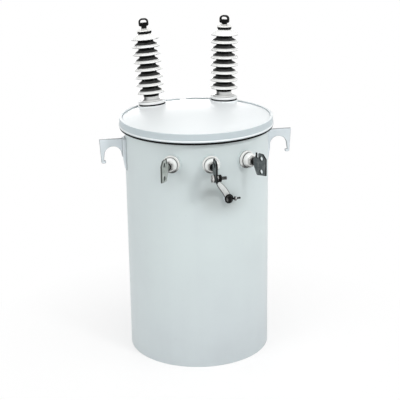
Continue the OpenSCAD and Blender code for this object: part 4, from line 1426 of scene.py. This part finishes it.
# %% Put the clamp together
SCREW_D = 7.0
SCREW_END = 38.0
SCREW_HEAD = 13.0
SCREW_HEAD_T = 6.0
SCREW_HEAD_MARK = 0.3
SCREW_PITCH = 1.25
SCREW_CLEAR = 0.3
SCREW_SINK = 1.0
SCREW_HEAD_GAP = 1.0
screw_start = SLEEVE_R - SCREW_SINK
screw_head = hexagon(SCREW_HEAD, SCREW_HEAD_T, SCREW_D / 2 - SCREW_CLEAR, side_mark=SCREW_HEAD_MARK)
screw = thread(SCREW_D, SCREW_END - screw_start, SCREW_PITCH).moved(z=screw_start)
screw = screw + screw_head.moved(z=CLAMP_WASHER_R + SCREW_HEAD_GAP)
ground_place = ground_out * tank_r * MM + UP * (neutral_place[2] - GROUND_DROP * MM)
sleeve_place = ground_place + ground_out * (disc_low + CLAMP_T - SLEEVE_R) * MM
clamp = (
    disc.placed(ground_place, ground_right, UP, ground_out)
    + sleeve.placed(sleeve_place, ground_out, ground_right, UP)
    + screw.placed(sleeve_place, UP, ground_out, ground_right)
)
make_piece("dressed_ground_clamp", clamp, clamp_metal, "ground_bolt")

# %% [markdown]
# ## Welds
#
# Everything that the tank carries is welded on, and a weld is a bead laid down in small overlapping
# puddles. A bead is a round section carried along the joint, whose size swells and falls back once for
# each puddle. It could be a bump in the paint, but real beads break the corner's straight line, which
# a bump can't.

# %% Lay a weld bead
PUDDLE = 3.2
PUDDLE_THIN = 0.9
PUDDLE_SWELL = 0.22
BEAD_STEP = 0.8
BEAD_SIDES = 10
BEAD_END = 0.25
# Beads are marked darker: dirt, and painted shade in the joint along them.
WELD_DIRT_AND_SHADE = 0.55


def bead(path, normal, radius, ring=False):
    """A round bead along a path: its radius grows with the square of the share of a puddle passed, and
    an open bead narrows at its ends."""
    along = distance_along(path)
    stations = np.linspace(0, along[-1], int(along[-1] / BEAD_STEP) + 1)
    line, facing = at_stations(path, along, stations), at_stations(normal, along, stations)
    way = unit(np.gradient(line, axis=0))
    side = unit(np.cross(way, facing))
    swell = radius * (PUDDLE_THIN + PUDDLE_SWELL * ((stations / PUDDLE) % 1) ** 2)[:, None]
    ends = np.minimum(1, np.minimum(stations, stations[-1] - stations) / radius + BEAD_END)[:, None]
    swell = swell if ring else swell * np.sqrt(ends)
    darkening = np.full(BEAD_SIDES, WELD_DIRT_AND_SHADE)
    return carry(line, side * swell, np.cross(side, way) * swell, circle(1.0, points=BEAD_SIDES), mark=darkening)


straight = bead(np.outer([0, 9], UP), np.tile(SIDEWAYS, (2, 1)), 2.0)
print("a bead of 9 mm has", len(straight.quads), "quads")

# %% [markdown]
# ## Lifting hooks
#
# A hook is a thick plate that stands out from the tank, with an arch for the sling and a tip that
# turns down and in to keep the sling from slipping off. It is welded to a pad, which spreads the load
# over the wall. Both are plates cut from an outline, and welds run round the pad and down both sides
# of the hook.

# %% Draw the hook
LUG_REACH = 90.0
LUG_DROP = 54.0
LUG_ARCH_R = 30.0
LUG_ARCH_IN = 44.0
LUG_ARCH_DROP = 57.0
LUG_ARCH_STEPS = 40
LUG_TIP_DROP = 86.0
LUG_TIP_W = 16.0
LUG_TIP_R = 5.0
LUG_TAPER = 5.0
LUG_ROOT_H = 66.0
LUG_CORNER_R = 5.0
LUG_PAD_T = 10.0
lug_top = tank_h - LUG_DROP
lug_root = tank_r + LUG_PAD_T


def lug_outline():
    """The hook in its own plane, x outwards from the tank's axis: the arch is half a circle."""
    arch = np.array([tank_r + LUG_ARCH_IN, lug_top - LUG_ARCH_DROP])
    angle = np.linspace(np.pi, 0, LUG_ARCH_STEPS)[:, None]
    half_round = arch + LUG_ARCH_R * np.hstack([np.cos(angle), np.sin(angle)])
    tip, end = lug_top - LUG_TIP_DROP, tank_r + LUG_REACH
    leg = end - LUG_TAPER
    rest = outline([
        [*half_round[-1], 0],
        [leg - LUG_TIP_W / 2, tip + 2 * LUG_TIP_R, 1.2],
        [leg - LUG_TIP_W, tip + 2 * LUG_TIP_R, LUG_TIP_R / 2],
        [leg - LUG_TIP_W, tip, LUG_TIP_R],
        [leg, tip, LUG_TIP_R],
        [end, lug_top - LUG_CORNER_R, 0],
        [end, lug_top, LUG_CORNER_R / 2],
        [lug_root, lug_top, 0],
        [lug_root, lug_top - LUG_ROOT_H, 0],
    ])
    return np.vstack([rest, half_round[:-1]])


print("hook outline of", len(lug_outline()), "points")

# %% Draw its pad
LUG_PAD_H = 108.0
LUG_PAD_TAPER = 46.0
LUG_PAD_FOOT = 3.0
LUG_PAD_SINK = 1.5
LUG_PAD_R = 1.8
LUG_PAD_BEND = 6.0
pad_low = lug_top - LUG_PAD_H


def pad_outline():
    """The pad's side: it thins out towards its foot, and its back lies inside the tank's wall."""
    return outline([
        [tank_r - LUG_PAD_SINK, pad_low, 0],
        [tank_r + LUG_PAD_FOOT, pad_low, LUG_PAD_R],
        [lug_root, pad_low + LUG_PAD_TAPER, LUG_PAD_BEND],
        [lug_root, lug_top, LUG_PAD_R],
        [tank_r - LUG_PAD_SINK, lug_top, 0],
    ])


print("pad outline of", len(pad_outline()), "points")

# %% Cut and weld the hooks
LUG_T = 8.0
LUG_EDGE = 1.8
LUG_RIM_MARK = 0.9
LUG_WELD_R = 3.0
LUG_PAD_W = 44.0
LUG_PAD_EDGE = 1.5
PAD_WELD_R = 3.2
PAD_WELD_BEND = 3.0
PAD_WELD_STEP = 2.0


def pad_weld():
    """A bead round the pad. The loop is drawn twice and cut after one round, so that the bead closes, and
    then wrapped round the wall: a distance across it turns by that distance / the tank's radius."""
    loop = rounded(oblong(-LUG_PAD_W / 2, pad_low, LUG_PAD_W / 2, lug_top), PAD_WELD_BEND)
    twice = finer(np.vstack([loop, loop]), PAD_WELD_STEP)
    across, height = twice[: len(twice) // 2 + 1].T
    out = np.stack([np.cos(across / tank_r), np.sin(across / tank_r), 0 * across], axis=1)
    return bead(tank_r * out + np.outer(height, UP), out, PAD_WELD_R, ring=True)


hook = plate(lug_outline(), [], LUG_T, LUG_EDGE, rim_mark=LUG_RIM_MARK)
hook_pad = plate(pad_outline(), [], LUG_PAD_W, LUG_PAD_EDGE)
pad_bead = pad_weld()
hook_weld = Surface([])
for way in (-1, 1):
    foot = np.array([lug_root, way * LUG_T / 2, lug_top - LUG_ROOT_H])
    line = np.stack([foot, foot + UP * LUG_ROOT_H])
    hook_weld = hook_weld + bead(line, np.array([[1.0, way, 0]] * 2), LUG_WELD_R)
for side, facing in (("left", -SIDEWAYS), ("right", SIDEWAYS)):
    across = np.cross(UP, facing)
    as_plate, as_weld = (ORIGIN, facing, UP, -across), (ORIGIN, facing, across, UP)
    lug = hook.placed(*as_plate) + hook_weld.placed(*as_weld)
    make_piece(f"{side}_hook", lug, bracket_paint, f"{side}_lifting_lug")
    base = hook_pad.placed(*as_plate) + pad_bead.placed(*as_weld)
    make_piece(f"{side}_hook_pad", base, bracket_paint, f"{side}_lug_pad")

# %% [markdown]
# ## Pole hangers
#
# At the rear, two channels of thick plate carry the tank on two bolts through the pole. Each is a back
# with a slot and two sides that reach to the wall, where they follow its curve and are welded. The
# back is a plate with the slot as its hole, and the sides are plates seen from above. The sides are a
# hair lower and thinner than the back where they overlap it, so that no two faces coincide.

# %% Fold the hangers
HANGER_W = 96.0
HANGER_H = 86.0
HANGER_T = 8.0
HANGER_OUT = 60.0
HANGER_EDGE = 0.8
HANGER_SINK = 1.0
HANGER_WELD_R = 3.4
HANGER_WELD_LEAN = 0.5
SLOT_W = 18.0
SLOT_LEN = 34.0
ARC_SPARE = 0.01
BEND_IN = 6.0
BEND_R = 8.0
LAP = 4.0
LAP_SINK = 0.05
WELD_SHORT = 2.0
back_y = tank_r + HANGER_OUT


def hanger_surface(z):
    """Back plate with its slot, the two sides with a round outer bend, and the welds at the wall."""
    slot_corners = oblong(-SLOT_W / 2, -SLOT_LEN / 2, SLOT_W / 2, SLOT_LEN / 2)
    slot = rounded(slot_corners, SLOT_W / 2 - ARC_SPARE, steps=10)
    flat = HANGER_W / 2 - BEND_IN
    back = plate(oblong(-flat, -HANGER_H / 2, flat, HANGER_H / 2), [slot], HANGER_T, HANGER_EDGE)
    whole = back.placed(np.array([0, back_y - HANGER_T / 2, z]) * MM, -SIDEWAYS, UP, REARWARDS)
    for way in (-1, 1):
        outer, inner = way * HANGER_W / 2, way * (HANGER_W / 2 - HANGER_T)
        wall_out, wall_in = np.sqrt(tank_r**2 - outer**2), np.sqrt(tank_r**2 - inner**2)
        lap = way * (flat - LAP)
        cheek = plate(outline([
            [outer, wall_out - HANGER_SINK, 0],
            [outer, back_y - LAP_SINK, BEND_R],
            [lap, back_y - LAP_SINK, 0],
            [lap, back_y - HANGER_T + LAP_SINK, 0],
            [inner, back_y - HANGER_T + LAP_SINK, 0],
            [inner, wall_in - HANGER_SINK, 0],
        ], steps=8), [], HANGER_H - 2 * LAP_SINK, HANGER_EDGE)
        reach = UP * (HANGER_H / 2 - WELD_SHORT)
        corner = np.array([outer, wall_out, z])
        facing = np.array([[way, HANGER_WELD_LEAN, 0]] * 2)
        weld = bead(np.stack([corner - reach, corner + reach]), facing, HANGER_WELD_R)
        whole = whole + cheek.placed(np.array([0, 0, z]) * MM, SIDEWAYS, REARWARDS, UP) + weld.placed(*FRAME)
    return whole


for name in ("upper_hanger", "lower_hanger"):
    make_piece(f"dressed_{name}", hanger_surface(middle(name)[2] / MM), bracket_paint, name)

# %% [markdown]
# ## Seams of the tank
#
# The wall is one sheet rolled round and joined by an upright weld, here at the rear beside the hangers.
# The ground boss is welded on too. These beads have no CAD node of their own, because they are small.

# %% Weld the tank's seam and the ground boss
SEAM_TURN = np.radians(122)
SEAM_SINK = 0.9
SEAM_LOW = 3.0
SEAM_SHORT = 10.0
SEAM_R = 2.4
BOSS_R = 15.0
BOSS_OUT = 0.2
BOSS_WELD_R = 2.2
BOSS_STEPS = 60
seam_foot = np.array([np.cos(SEAM_TURN), np.sin(SEAM_TURN), 0.0]) * (tank_r - SEAM_SINK)
seam_line = np.stack([seam_foot + UP * SEAM_LOW, seam_foot + UP * (band_low - SEAM_SHORT)])
seam = bead(seam_line, np.stack([seam_foot, seam_foot]), SEAM_R)
make_piece("tank_seam", seam.placed(*FRAME), tank_paint)
turn = np.linspace(0, 2 * np.pi, BOSS_STEPS)[:, None]
round_boss = (
    ground_out * (tank_r + BOSS_OUT)
    + UP * ground_height
    + BOSS_R * (np.cos(turn) * ground_right + np.sin(turn) * UP)
)
boss_out = unit(round_boss * [1, 1, 0])
boss_weld = bead(boss_out * tank_r + round_boss * UP, boss_out, BOSS_WELD_R, ring=True)
make_piece("boss_weld", boss_weld.placed(*FRAME), bracket_paint)

# %% [markdown]
# ## Floor and light
#
# The photograph shows the object cut out on white. The floor and the world look white only to rays
# that come from the camera or from a mirror-like bounce, so the object itself is lit at a plain level:
# a grey world all round and five soft lamps. One overhead and a smaller one at the upper right give the
# form its shading, and three fills keep the left, right and rear sides readable. The floor still mixes
# in some of its own shading, so a soft shadow grounds the tank.

# %% Lay the floor
FLOOR_HALF = 24.0
FLOOR_PALE = (250, 250, 250)
FLOOR_GREY = (240, 240, 240)
GRAIN_SHARE = 0.2
SHADOW_SHARE = 0.35
SHADOW_FROM = 0.25
SHADOW_TO = 0.85


def seen_directly(tree):
    """1 for rays from the camera, a mirror bounce or glass, and 0 for rays that carry light."""
    kinds = ("Is Camera Ray", "Is Glossy Ray", "Is Transmission Ray")
    camera_ray, mirror_ray, glass_ray = (Wire(tree).add("LightPath", out=kind) for kind in kinds)
    return camera_ray.maths("MAXIMUM", camera_ray, mirror_ray.maths("MAXIMUM", mirror_ray, glass_ray))


def floor_finish():
    """Pale floor: plain white to the camera, but for a share of its own shading round the object."""
    floor = Finish("studio_floor", Roughness=0.9, Specular_IOR_Level=0.1)
    grain = floor.place.noise(scale=9.0, detail=3.0)
    floor.feed(Base_Color=(grain * GRAIN_SHARE).between(shade(*FLOOR_PALE), shade(*FLOOR_GREY)))
    white = floor.tree.nodes.new("ShaderNodeEmission")
    mix = floor.tree.nodes.new("ShaderNodeMixShader")
    reach = floor.place.add("VectorMath", {"operation": "LENGTH"}, {0: floor.place}, out="Value")
    plain = seen_directly(floor.tree) * reach.ramp((SHADOW_FROM, 1 - SHADOW_SHARE), (SHADOW_TO, 1.0))
    floor.tree.links.new(plain.socket, mix.inputs[0])
    floor.tree.links.new(floor.shader.outputs[0], mix.inputs[1])
    floor.tree.links.new(white.outputs[0], mix.inputs[2])
    floor.tree.links.new(mix.outputs[0], floor.tree.nodes["Material Output"].inputs["Surface"])
    return floor.material


floor_corners = np.pad(FLOOR_HALF * oblong(-1, -1, 1, 1), ((0, 0), (0, 1)))
floor_mesh = bpy.data.meshes.new("studio_floor")
floor_mesh.from_pydata(floor_corners.tolist(), [], [(0, 1, 2, 3)])
floor_mesh.materials.append(floor_finish())
floor = add_object("studio_floor", floor_mesh)
print("floor", 2 * FLOOR_HALF, "m square")

# %% Light the studio
WORLD_LEVEL = 0.47
# Each row: the lamp, its place, the height that it looks at, its size in metres and its watts.
LAMPS = (
    ("overhead", (0.0, -0.7, 3.3), 0.7, 1.4, 24),
    ("upper_right", (1.6, -2.6, 3.0), 0.5, 0.7, 42),
    ("left_fill", (-3.2, -2.0, 2.2), 0.5, 2.0, 41),
    ("right_fill", (3.4, -1.0, 1.6), 0.5, 2.0, 18),
    ("rear_fill", (0.4, 3.4, 0.7), 0.45, 1.3, 30),
)


def soft_lamp(name, place, target_height, size, watts):
    """A square area lamp that looks at a height on the tank's axis."""
    lamp_data = bpy.data.lights.new(name, "AREA")
    lamp_data.size = size
    lamp_data.energy = watts
    lamp = add_object(name, lamp_data)
    lamp.location = place
    lamp.rotation_euler = (Vector((0, 0, target_height)) - Vector(place)).to_track_quat("-Z", "Y").to_euler()


def studio_world():
    """White to the camera and to mirrors, a plain grey light for everything else."""
    world = bpy.data.worlds.new("studio_world")
    world.use_nodes = True
    tree = world.node_tree
    level = WORLD_LEVEL + seen_directly(tree) * (1 - WORLD_LEVEL)
    tree.links.new(level.socket, tree.nodes["Background"].inputs["Strength"])
    tree.nodes["Background"].inputs["Color"].default_value = (1, 1, 1, 1)
    bpy.context.scene.world = world


for lamp in LAMPS:
    soft_lamp(*lamp)
studio_world()
bpy.context.scene.view_settings.view_transform = "Standard"
print(len(LAMPS), "lamps, world level", WORLD_LEVEL)
